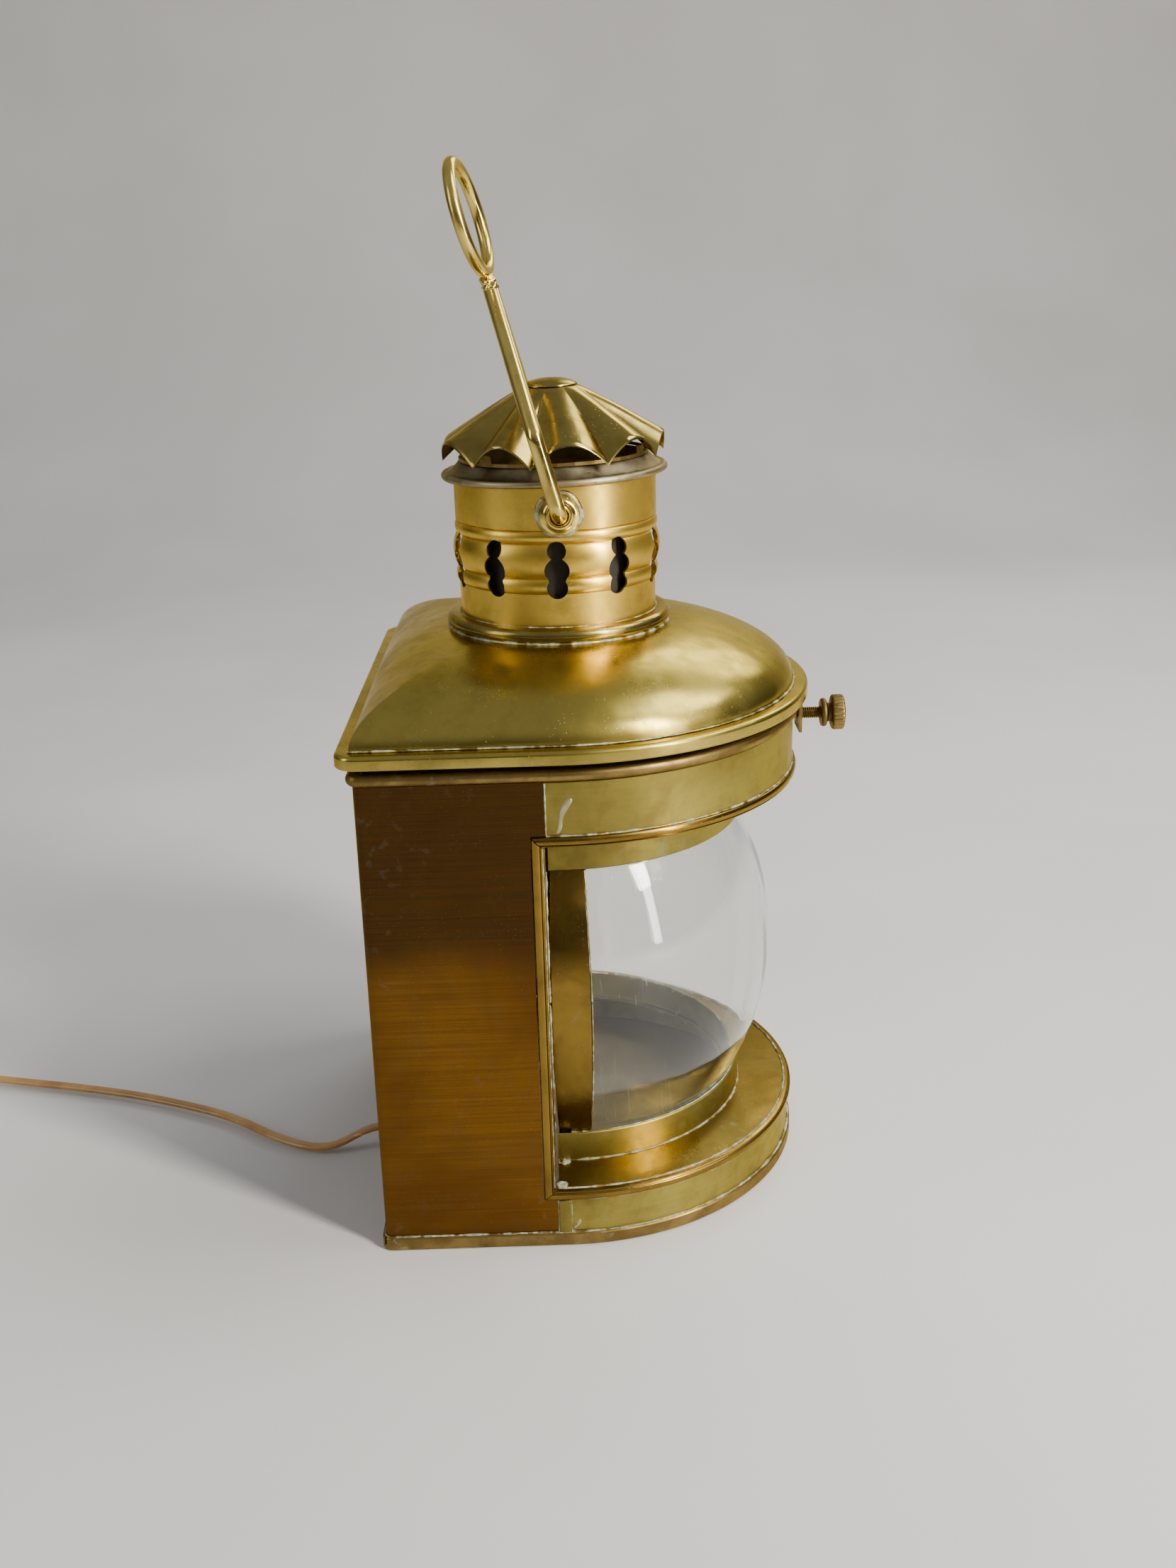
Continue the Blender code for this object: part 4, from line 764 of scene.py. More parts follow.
def bead_section(steps=22):
    """Half-round moulding with a rolled line near its window edge, as (out, share of width) pairs."""
    points = [(-SHEET, 0.0), (-SHEET, 1.0)]
    for k in range(steps + 1):
        share = 1.0 - k / steps
        swell = math.sqrt(max(0.0, 1.0 - (2.0 * share - 1.0) ** 2)) ** 0.8
        swell *= 1.0 - 0.42 * math.exp(-((share - 0.20) / 0.055) ** 2)
        points.append((BEAD_OUT * swell, min(max(share, 0.004), 0.996)))
    return points


BEAD_INNER_Y = WINDOW_BACK_Y - GAP - BEAD_HEIGHT
BEAD_ENDS = ((LOWER_BAND_TOP + GAP + BEAD_HEIGHT, -BEAD_HEIGHT, 0.3 * MM),
             (UPPER_BAND_BOTTOM - GAP - BEAD_HEIGHT, BEAD_HEIGHT, -0.5 * MM))


def mitred_bead(inner_z, fall):
    """Moulding below or above the window, with its ends cut for the upright mouldings."""
    return loft(zip(*[front_path(out, inner_z + fall * share, BEAD_INNER_Y + BEAD_HEIGHT * share - 0.1 * MM)
                      for out, share in bead_section()]))


def upright_bead(side):
    """Upright moulding at one side of the window, mitred into the other two."""
    return loft([[Vector((side * (HALF_WIDTH + out), BEAD_INNER_Y + BEAD_HEIGHT * share,
                          inner_z + fall * share + clear))
                  for out, share in bead_section()] for inner_z, fall, clear in BEAD_ENDS])


for node, (inner_z, fall, _) in zip(("lower_bead", "upper_bead"), BEAD_ENDS):
    detail(node, mitred_bead(inner_z, fall), bead_brass)


def barrel_radius(z):
    """Outer radius of the glass at height z."""
    t = (z - LOWER_SEAT_TOP - MM) / (UPPER_SEAT_BOTTOM - LOWER_SEAT_TOP - 2.0 * MM)
    t = min(max(t, 0.0), 1.0)
    return GLASS_NECK_RADIUS + GLASS_BULGE * (1.0 - abs(2.0 * t - 1.0) ** 2.2)


def barrel_heights(steps=44):
    """Heights at which the barrel is sampled."""
    low = LOWER_SEAT_TOP + MM
    high = UPPER_SEAT_BOTTOM - MM
    inner = [low + (high - low) * (1.0 - math.cos(math.pi * k / steps)) / 2.0 for k in range(steps + 1)]
    return [SILL_Z + SHEET + GAP] + inner + [HEADER_Z - GAP]


def barrel_shell(wall):
    """Closed section of a shell whose outside is the barrel."""
    heights = barrel_heights()
    return [(barrel_radius(z), z) for z in heights] + [(barrel_radius(z) - wall, z) for z in reversed(heights)]


for side, tag in ((-1.0, "left"), (1.0, "right")):
    x_pair = sorted((side * (HALF_WIDTH + GAP), side * (HALF_WIDTH + 1.1 * MM)))
    detail("strap_lower_" + tag, box(*x_pair, SEAM_Y - STRAP_WIDTH, SEAM_Y, BASE_LIP_Z + GAP, LOWER_BAND_TOP),
           front_brass, bevel=0.3 * MM)
    detail("side_bead_" + tag, upright_bead(side), bead_brass)
    edge = [(side * (barrel_radius(z) - 1.5 * MM), z) for z in barrel_heights()]
    wall_x = side * (HALF_WIDTH - SHEET - GAP)
    edge += [(wall_x, HEADER_Z - GAP), (wall_x, SILL_Z + SHEET + GAP)]
    detail("reveal_" + tag, extrude(edge, REVEAL_Y, REVEAL_Y + REVEAL_SHEET, "y"), inner_brass, bevel=0.2 * MM)
    span = (180.0 - CHEEK_BACK_DEG, 180.0 + CHEEK_FRONT_DEG) if side < 0 else (
        360.0 - CHEEK_FRONT_DEG, 360.0 + CHEEK_BACK_DEG)
    detail("cheek_" + tag, revolve(barrel_shell(SHEET), 8, (0.0, 0.0), *span), bead_brass, bevel=0.2 * MM)

plate_span = (PLATE_INNER_RADIUS - HALF_WIDTH, -SHEET - GAP)
seat_span = (SEAT_RADIUS - SHEET - HALF_WIDTH, SEAT_RADIUS - HALF_WIDTH)
for node, section, finish in (
        ("sill_plate", rectangle(*plate_span, SILL_Z, SILL_Z + SHEET), inner_brass),
        ("header_plate", rectangle(*plate_span, HEADER_Z, HEADER_Z + SHEET), inner_brass),
        ("lower_seat", rectangle(*seat_span, SILL_Z + SHEET + GAP, LOWER_SEAT_TOP, 0.45 * MM), front_brass),
        ("upper_seat", rectangle(*seat_span, UPPER_SEAT_BOTTOM, HEADER_Z - GAP, 0.45 * MM), front_brass)):
    detail(node, front_strip(section), finish)
piece("window_glass", revolve(barrel_shell(GLASS_WALL), 150, (0.0, 0.0), 180.0 + GLASS_EDGE_DEG,
                              360.0 - GLASS_EDGE_DEG), clear_glass, ("lens_glass",))

rim_circle = circle(RIM_BEAD_RADIUS, 22, 0.0, (-0.2 * MM, RIM_BEAD_Z))
detail("case_rim", plan_ring([(p.x, p.y) for p in rim_circle]), dark_brass)
cut(detail("lock_keeper", box(-9.0 * MM, 9.0 * MM, -109.9 * MM, -106.9 * MM, SCREW_Z - 8.0 * MM, SCREW_Z + 6.0 * MM),
           dark_brass),
    bore(SCREW_HOLE_RADIUS, 0.0, SCREW_Z, -115.0 * MM, -100.0 * MM))

# ---- finish of the pieces that stay as modelled -----------------------------

for node in ("hinge_leaf_case", "hinge_leaf_lid", "hinge_pin", "cap_stay", "lamp_foot"):
    finish = {"hinge_pin": dull_brass, "lamp_foot": black_plastic}.get(node, dark_brass)
    materials = bpy.data.objects[node].data.materials
    materials.clear()
    materials.append(finish)

# ---- roof -------------------------------------------------------------------

ROOF_SHEET = 1.2 * MM
ROOF_ROUNDING = 1.9 * MM
flange_section = [(ROOF_OVERHANG - ROOF_SHEET, ROOF_LIP_BOTTOM), (ROOF_OVERHANG - 0.3 * MM, ROOF_LIP_BOTTOM),
                  (ROOF_OVERHANG, ROOF_LIP_BOTTOM + 0.4 * MM)]
flange_section += [(p.x, p.y) for p in arc((ROOF_OVERHANG - ROOF_ROUNDING, ROOF_TOP - ROOF_ROUNDING), ROOF_ROUNDING,
                                           0.0, 90.0, 8, 0.0)]
flange_section += [(-5.0 * MM, ROOF_TOP), (-5.0 * MM, ROOF_TOP - ROOF_SHEET),
                   (ROOF_OVERHANG - 2.0 * MM, ROOF_TOP - ROOF_SHEET),
                   (ROOF_OVERHANG - ROOF_SHEET, ROOF_TOP - 2.1 * MM)]
detail("roof_flange", plan_ring(flange_section), dome_brass)


def polar_stations():
    """Angles round the D plan, with stations on the two back corners."""
    corner = math.atan2(BACK_Y, HALF_WIDTH)
    stations = [math.pi + math.pi * k / ARC_STEPS for k in range(ARC_STEPS)]
    stations += [corner * k / 16 for k in range(16)]
    stations += [corner + (math.pi - 2.0 * corner) * k / 48 for k in range(48)]
    stations += [math.pi - corner + corner * k / 16 for k in range(16)]
    return stations


def plan_radius(angle, offset):
    """Distance from the origin to the D plan in a direction."""
    wide = HALF_WIDTH + offset
    if math.sin(angle) <= 0.0:
        return wide
    return min(wide / max(abs(math.cos(angle)), 1e-6), (BACK_Y + offset) / max(math.sin(angle), 1e-6))


def dome_ring(share, inset, sink=0.0):
    """One level of the cushion roof."""
    blend = 1.0 - math.cos(share * math.pi / 2.0) ** 1.15
    z = ROOF_TOP + GAP + (DOME_TOP - ROOF_TOP - GAP) * math.sin(share * math.pi / 2.0) - sink
    ring = []
    for angle in polar_stations():
        r = (1.0 - blend) * plan_radius(angle, -inset) + blend * DOME_TOP_RADIUS
        ring.append(Vector((r * math.cos(angle), r * math.sin(angle) + blend * CHIMNEY_Y, z)))
    return ring


DOME_STEPS = 36
outer_rings = [dome_ring(k / DOME_STEPS, 0.0) for k in range(DOME_STEPS + 1)]
inner_rings = [dome_ring(k / DOME_STEPS, 1.3 * MM, SHEET if k else 0.0) for k in range(DOME_STEPS + 1)]
piece("cushion_roof", loft(outer_rings + inner_rings[::-1], wrap=True), dome_brass, ("roof_dome",), angle=24.0)

# ---- chimney ----------------------------------------------------------------

BASE_RING_WIRE = 3.2 * MM
ring_foot = DOME_TOP + GAP
ring_bore = COLLAR_FOOT_RADIUS + GAP
ring_x, ring_z = BASE_RING_RADIUS - BASE_RING_WIRE, ring_foot + BASE_RING_WIRE
ring_profile = [(COLLAR_RADIUS + 2.0 * MM, ring_foot), (ring_x, ring_foot)]
for k in range(1, 17):
    a = math.radians(-90.0 + 180.0 * k / 16 * 0.94)
    ring_profile.append((ring_x + BASE_RING_WIRE * math.cos(a), ring_z + BASE_RING_WIRE * math.sin(a)))
ring_profile += [(ring_bore + 0.5 * MM, ring_foot + 6.4 * MM), (ring_bore, ring_foot + 6.0 * MM),
                 (ring_bore, ring_foot + 2.0 * MM)]
piece("chimney_base_ring", revolve(ring_profile, 128, CHIMNEY_AXIS), cap_brass, ("collar_base_ring",))


def collar_radius(z):
    """Outer radius of the chimney collar, with its rolled ribs."""
    radius = COLLAR_FOOT_RADIUS if z < COLLAR_RIBS[1][0] else COLLAR_RADIUS
    for low, high, rise in COLLAR_RIBS:
        if low <= z <= high:
            share = min(max((z - low) / (high - low), 0.0), 1.0)
            radius = COLLAR_FOOT_RADIUS + rise * math.sin(math.pi * share) ** 0.6
    return radius


crown_slope = math.tan(math.radians(CROWN_TILT_DEG))
collar_levels = [COLLAR_BOTTOM, 275.0 * MM, 287.0 * MM]
for low, high, _ in COLLAR_RIBS:
    steps = 14 if high - low > 10.0 * MM else 9
    collar_levels += [low + (high - low) * (0.5 - 0.5 * math.cos(math.pi * k / steps)) for k in range(steps)]
collar_levels += [COLLAR_RIBS[-1][1], 317.0 * MM, 322.0 * MM, 329.0 * MM, COLLAR_TOP]
collar_profile = [(collar_radius(z), z) for z in collar_levels]
collar_profile += [(collar_radius(z) - SHEET, z) for z in reversed(collar_levels)]
collar_mesh = revolve(collar_profile, 144, CHIMNEY_AXIS, 2.1, 362.1)
for vertex in collar_mesh.verts:
    if vertex.co.z > COLLAR_TOP - 0.1 * MM:
        vertex.co.z -= (vertex.co.y - CHIMNEY_Y) * crown_slope


def vent_outline(steps=30):
    """Outline of three stacked, overlapping circles."""
    top = max(z + r for z, r in VENT_CIRCLES)
    bottom = min(z - r for z, r in VENT_CIRCLES)
    half = []
    for k in range(1, steps):
        z = bottom + (top - bottom) * (1.0 - math.cos(math.pi * k / steps)) / 2.0
        half.append((max(math.sqrt(max(r * r - (z - c) ** 2, 0.0)) for c, r in VENT_CIRCLES), z))
    return [(0.0, bottom)] + half + [(0.0, top)] + [(-w, z) for w, z in reversed(half)]


prisms = []
for radial in arc((0.0, 0.0), 1.0, 180.0, 540.0, VENT_COUNT, 0.0)[:-1]:
    tangent = Vector((-radial.y, radial.x, 0.0))
    prisms.append(loft([[radial * reach + tangent * t + Vector((0.0, CHIMNEY_Y, z)) for t, z in vent_outline()]
                        for reach in (38.0 * MM, 58.0 * MM)]))
cut(detail("chimney_collar", collar_mesh, collar_brass), joined(*prisms))

twist = Matrix.Rotation(math.radians(BAIL_TWIST_DEG), 3, "Z")
EYELET_NEAR = COLLAR_RADIUS + 1.3 * MM
EYELET_FAR = COLLAR_RADIUS + 5.6 * MM
eyelet_section = mm([(3.9, 0.0), (8.6, 0.0), (9.0, 0.3), (8.7, 0.9), (7.6, 1.3), (6.6, 1.7), (6.1, 2.4)], EYELET_NEAR)
eyelet_section += mm([(5.95, -1.2), (6.0, -0.7), (5.8, -0.2), (5.3, 0.0), (4.6, -0.05), (4.1, -0.4), (3.9, -0.9)],
                     EYELET_FAR)
for side, tag in ((-1.0, "left"), (1.0, "right")):
    ferrule = turned([(r, side * t) for r, t in eyelet_section], 56, "x", (0.0, 0.0, EYELET_Z))
    bmesh.ops.rotate(ferrule, cent=(0.0, 0.0, 0.0), matrix=twist, verts=ferrule.verts)
    bmesh.ops.translate(ferrule, vec=(0.0, CHIMNEY_Y, 0.0), verts=ferrule.verts)
    detail("eyelet_" + tag, ferrule, rod_brass)


def tilted(bm):
    """Lean a piece of the crown about its foot, as it was soldered on."""
    bmesh.ops.rotate(bm, cent=(0.0, CHIMNEY_Y, COLLAR_TOP), matrix=Matrix.Rotation(
        math.radians(-CROWN_TILT_DEG), 3, "X"), verts=bm.verts)
    return bm


rim_profile = [(42.6, 336.5), (48.2, 336.5), (49.2, 336.1), (50.0, 335.8), (50.9, 335.9), (51.6, 336.4),
               (51.9, 337.2), (51.8, 338.1), (51.2, 338.8), (50.3, 339.2), (49.4, 339.0), (48.6, 338.8),
               (47.6, 339.4), (46.4, 340.4), (45.2, 341.6), (44.2, 342.8), (43.6, 343.4), (43.1, 343.6),
               (42.6, 343.4)]
detail("rim_plate", tilted(revolve(mm(rim_profile), 144, CHIMNEY_AXIS)), dull_brass, angle=50.0)


def cap_angle(station):
    """Angle of a station round the cap's edge; whole numbers are the tips between the lobes."""
    index = math.floor(station)
    here = CAP_TIPS_DEG[index % len(CAP_TIPS_DEG)]
    beyond = CAP_TIPS_DEG[(index + 1) % len(CAP_TIPS_DEG)]
    return math.radians(here + (beyond - here) % 360.0 * (station - index))


def cap_point(radius, station, drop):
    """A point on the fluted cap at a radius; the lobes grow from the crown outward."""
    angle = cap_angle(station)
    out = max(radius - CAP_CROWN_RADIUS, 0.0) / (CAP_RADIUS - CAP_CROWN_RADIUS)
    arch = math.sin(math.pi * (station - math.floor(station))) ** 0.85
    z = CAP_TOP_Z - (CAP_TOP_Z - CAP_TIP_Z) * out ** 1.12 + CAP_ARCH * arch * out ** 1.2
    return Vector((radius * math.cos(angle), radius * math.sin(angle) + CHIMNEY_Y, z - drop))


lobe_steps = 18
cap_stations = [k / lobe_steps for k in range(lobe_steps * len(CAP_TIPS_DEG))]
cap_radii = [3.0 * MM, 8.0 * MM]
cap_radii += [CAP_CROWN_RADIUS + (CAP_RADIUS - CAP_CROWN_RADIUS) * (k / 22) for k in range(23)]
cap_levels = [(r, 0.0) for r in cap_radii] + [(r, CAP_SHEET) for r in reversed(cap_radii)]
cap_rings = [[cap_point(r, station, drop) for station in cap_stations] for r, drop in cap_levels]
detail("fluted_cap", tilted(loft(cap_rings, wrap=True)), cap_brass, angle=60.0)
crown = [(12.45, 375.05), (12.4, 375.35), (11.9, 375.8), (11.0, 376.3), (9.6, 376.9), (8.0, 377.4), (6.0, 377.85),
         (4.0, 378.1), (2.0, 378.25), (0.4, 378.3)]
piece("cap_crown", tilted(upright(mm(crown), 72, CHIMNEY_AXIS)), cap_brass, ("cap_button",), angle=60.0)

# A skirt inside the roof lip and a sleeve behind the vent holes keep daylight out; their almost black colour is
# painted shade.
skirt = mm([(-4.8, 228.0), (-4.2, 228.0), (-4.2, 237.6), (-4.8, 237.6)])
sleeve = mm([(41.0, 286.0), (41.6, 286.0), (41.6, 314.0), (41.0, 314.0)])
piece("lid_skirt", plan_ring(skirt), shade_black, body="lid", slot="brass_dull")
piece("vent_baffle", revolve(sleeve, 72, CHIMNEY_AXIS), shade_black, body="lid", slot="brass_dull")

# ---- bail -------------------------------------------------------------------


def rounded_path(corners, radius, steps):
    """Straight runs joined by arcs of one radius."""
    points = [corners[0]]
    for before, here, after in zip(corners, corners[1:], corners[2:]):
        inward = (before - here).normalized()
        outward = (after - here).normalized()
        half = inward.angle(outward) / 2.0
        centre = here + (inward + outward).normalized() * radius / math.sin(half)
        start = here + inward * (radius / math.tan(half)) - centre
        side = inward.cross(outward).normalized().cross(start)
        for k in range(steps + 1):
            a = (2.0 * half - math.pi) * k / steps
            points.append(centre + start * math.cos(a) + side * math.sin(a))
    points.append(corners[-1])
    return points


bail_turn = twist @ Matrix.Rotation(math.radians(-BAIL_LEAN_DEG), 3, "X")
ring_turn = Matrix.Rotation(math.radians(RING_TURN_DEG), 3, "Z")
Y_AXIS = Vector((0.0, 1.0, 0.0))


def in_bail(x, y, z):
    """A point of the bail's own plane, in the lantern's frame."""
    return bail_turn @ Vector((x, y, z)) + Vector((0.0, CHIMNEY_Y, EYELET_Z))


LEG_TOP = 36.0 * MM
tip_x = COLLAR_RADIUS + 2.0 * MM
bail_half = [(tip_x, 0.0), (BAIL_HALF_SPAN, 0.0), (BAIL_HALF_SPAN, LEG_TOP)]
bail_corners = [(-x, z) for x, z in bail_half] + [(0.0, BAIL_APEX + 4.0 * MM)] + bail_half[::-1]
bail_path = rounded_path([Vector((x, 0.0, z)) for x, z in bail_corners], 5.5 * MM, 12)
rod_line = evenly([in_bail(*p) for p in bail_path], 1.5 * MM)


def rod_section(k):
    """Round rod, slightly rounded off at its two ends and a little uneven along its length."""
    end = min(k, len(rod_line) - 1 - k)
    r = BAIL_ROD_RADIUS * (0.80 if end == 0 else 0.98 if end == 1 else 1.0)
    r *= 0.995 - 0.012 * noise.noise(Vector((k * 0.12, 3.0, 0.0)))
    return [(r * math.cos(2.0 * math.pi * i / 24), r * math.sin(2.0 * math.pi * i / 24)) for i in range(24)]


detail("bail_rod", swept(rod_line, rod_section, up=bail_turn @ Y_AXIS), rod_brass, angle=50.0)
ring_height = BAIL_APEX + 1.0 * MM + BAIL_ROD_RADIUS + BAIL_RING_ROD + BAIL_RING_RADIUS + GAP
ring_line = []
for k in range(96):
    a = 2.0 * math.pi * k / 96
    across = ring_turn @ Vector((BAIL_RING_RADIUS * math.sin(a), 0.0, 0.0))
    ring_line.append(in_bail(across.x, across.y, ring_height - BAIL_RING_RADIUS * math.cos(a)))
detail("bail_ring", swept(ring_line, round_section(BAIL_RING_ROD - RING_CLEARANCE, 22), closed=True,
                          up=bail_turn @ ring_turn @ Y_AXIS), rod_brass)


def solder_blob(name, centre, size, seed, mat=solder, turn=Matrix.Identity(3), **more):
    """A lump of solder with a soft, uneven surface; size is in millimetres."""
    bm = bmesh.new()
    bmesh.ops.create_icosphere(bm, subdivisions=4, radius=1.0)
    for vertex in bm.verts:
        push = 1.0 + 0.22 * noise.noise(vertex.co * 1.6 + Vector((seed, 0.0, 0.0)))
        vertex.co = turn @ (Vector([c * s * MM for c, s in zip(vertex.co, size)]) * push) + centre
    return piece(name, bm, mat, angle=80.0, **more)


for tag, place, size, seed in (("centre", (0.0, 0.0, 3.6), (6.4, 3.7, 3.9), 2.0),
                               ("left", (-4.4, -0.3, 1.0), (3.4, 3.45, 2.6), 5.0),
                               ("right", (4.2, 0.2, 1.3), (3.2, 3.4, 2.4), 8.0)):
    x, y, z = Vector(place) * MM
    solder_blob("apex_solder_" + tag, in_bail(x, y, BAIL_APEX + z), size, seed, rod_brass, bail_turn, body="bail",
                slot="brass_polished")

# ---- lock -------------------------------------------------------------------

PITCH = 1.0 * MM
SCREW_AXIS = (0.0, 0.0, SCREW_Z)
cut(detail("lock_lug", box(-8.0 * MM, 8.0 * MM, LUG_Y, LUG_Y + LUG_THICK, SCREW_Z - 7.5 * MM,
                           ROOF_LIP_BOTTOM + 4.5 * MM), dark_brass),
    bore(SCREW_HOLE_RADIUS, 0.0, SCREW_Z, LUG_Y - 5.0 * MM, LUG_Y + 7.0 * MM))
half_thick = WASHER_THICK / 2
washer_bore = SCREW_RADIUS + GAP
washer_section = [(washer_bore, -half_thick + 0.2 * MM), (washer_bore + 0.2 * MM, -half_thick)]
for k in range(9):
    a = math.radians(-90.0 + 180.0 * k / 8)
    washer_section.append((WASHER_RADIUS - 0.9 * MM + 0.9 * MM * math.cos(a), half_thick * math.sin(a)))
washer_section += [(washer_bore + 0.2 * MM, half_thick), (washer_bore, half_thick - 0.2 * MM)]
detail("screw_washer", turned([(r, WASHER_Y - half_thick + t) for r, t in washer_section], 64, "y", SCREW_AXIS),
       knob_brass)


def screw_ring(radius_at, y, count=80):
    """One station of the lock screw."""
    angles = [2.0 * math.pi * k / count for k in range(count)]
    return [Vector((radius_at(a) * math.cos(a), y, SCREW_Z + radius_at(a) * math.sin(a))) for a in angles]


def thread_radius(angle, y, lead):
    """Radius of the thread, which starts gently at the tip."""
    saw = abs((y / PITCH + angle / (2.0 * math.pi)) % 1.0 - 0.5) * 2.0
    return SCREW_RADIUS - (0.62 * MM * (1.0 - saw) + 0.45 * MM * (1.0 - lead))


def knurl_radius(angle, radius, depth):
    """Radius of the knurled head, worn unevenly round its edge."""
    worn = 0.75 + 0.25 * noise.noise(Vector((math.cos(angle) * 2.0, math.sin(angle) * 2.0, 0.4)))
    return radius - depth * worn * 0.5 * MM * (0.5 - 0.5 * math.cos(26.0 * angle))


thread_end = WASHER_Y - WASHER_THICK - GAP
shaft = [screw_ring(lambda a: 1.6 * MM, SCREW_TIP_Y), screw_ring(lambda a: 2.2 * MM, SCREW_TIP_Y - 0.1 * MM)]
for i in range(1, int((SCREW_TIP_Y - thread_end) / (PITCH / 8))):
    y = SCREW_TIP_Y - PITCH / 8 * i
    shaft.append(screw_ring(lambda a: thread_radius(a, y, min(1.0, i / 8.0)), y))
shaft += [screw_ring(lambda a: r, y) for r, y in (
    (SCREW_RADIUS, thread_end + 0.02 * MM), (4.3 * MM, thread_end), (4.6 * MM, thread_end - 0.3 * MM),
    (4.45 * MM, HEAD_Y + 0.3 * MM), (4.5 * MM, HEAD_Y + 0.02 * MM))]
head = [screw_ring(lambda a: 4.5 * MM, HEAD_Y + 0.02 * MM, 208)]
head += [screw_ring(lambda a: knurl_radius(a, r * MM, depth), HEAD_Y - along * MM, 208) for r, along, depth in (
    (7.2, 0.0, 0.0), (7.9, 0.25, 0.15), (8.4, 0.75, 0.7), (8.5, 1.1, 1.0), (8.5, 3.0, 1.0), (8.5, 5.0, 1.0),
    (8.4, 5.35, 0.7), (7.9, 5.85, 0.15), (7.2, 6.1, 0.0), (5.2, 6.1, 0.0), (4.9, 5.85, 0.0), (1.5, 5.8, 0.0))]
piece("lock_screw_detail", joined(loft(shaft), loft(head)), knob_brass, ("thumb_screw",), angle=50.0)

# ---- lamp -------------------------------------------------------------------

holder = [(13.5, 15.5), (15.6, 15.9), (16.0, 17.0), (16.0, 21.4), (15.4, 23.0), (14.5, 24.0)]
holder += [(14.5 + (0.45 if k % 2 else 0.0), 25.0 + k * 1.1) for k in range(17)]
holder += [(14.5, 44.2), (16.6, 44.8), (17.5, 45.6), (17.5, 57.2), (17.1, 58.0), (16.2, 58.0), (14.6, 57.2),
           (14.4, 47.0), (10.0, 30.0), (2.0, 29.0), (2.0, 15.5)]
detail("lamp_holder", revolve(mm(holder), 72, LAMP_AXIS), dark_brass)
bulb_line = smooth_profile([(9.5, 32.5), (13.2, 48.0), (13.4, 56.0), (13.6, 62.0), (17.5, 70.0), (21.3, 79.0),
                            (22.4, 88.0), (20.9, 97.0), (16.5, 104.9), (9.0, 109.5), (1.0, 111.0)], 6)
detail("lamp_bulb", upright(mm([(4.0, 31.0)] + bulb_line), 64, LAMP_AXIS), bulb_glass, angle=60.0)

# ---- solder, patina and small marks -----------------------------------------

FACE = 0.12 * MM
SILL_FACE_Z = SILL_Z + SHEET
outline = plan_outline(0.30 * MM, BASE_LIP_Z + 0.05 * MM)
solder_run("base_lip_solder", evenly(outline + outline[:1], 1.6 * MM)[:-1], 0.62 * MM, 3.0, closed=True)
for name, offset, z, end_y, spacing, radius, seed in (
        ("lower_band_solder", FACE, LOWER_BAND_TOP + FACE, SEAM_Y, 1.6, 0.36, 7.0),
        ("upper_band_solder", FACE, UPPER_BAND_BOTTOM - FACE, SEAM_Y, 1.6, 0.50, 9.0),
        ("sill_outer_solder", -SHEET - 0.5 * MM, SILL_FACE_Z + 0.1 * MM, SEAM_Y, 1.6, 0.55, 12.0),
        ("sill_seat_solder", SEAT_RADIUS - HALF_WIDTH + 0.1 * MM, SILL_FACE_Z + 0.1 * MM, SEAM_Y, 1.4, 0.60, 15.0),
        ("seat_glass_solder", GLASS_NECK_RADIUS + 0.15 * MM - HALF_WIDTH, LOWER_SEAT_TOP - 0.1 * MM, -4.0 * MM, 1.2,
         0.34, 17.0),
        ("header_outer_solder", -SHEET - 0.4 * MM, HEADER_Z - 0.1 * MM, SEAM_Y, 1.6, 0.45, 19.0),
        ("header_seat_solder", SEAT_RADIUS - HALF_WIDTH + 0.1 * MM, HEADER_Z - 0.1 * MM, SEAM_Y, 1.6, 0.50, 21.0)):
    solder_run(name, evenly(front_path(offset, z, end_y), spacing * MM), radius * MM, seed)


def edge_line(side, angle_deg, heights, y=None):
    """Line up one edge of the barrel, at an angle from the side; a given y keeps it in one plane."""
    a = math.radians(angle_deg)
    radii = [(barrel_radius(z) + 0.05 * MM, z) for z in heights]
    return [Vector((side * r * math.cos(a), -r * math.sin(a) if y is None else y, z)) for r, z in radii]


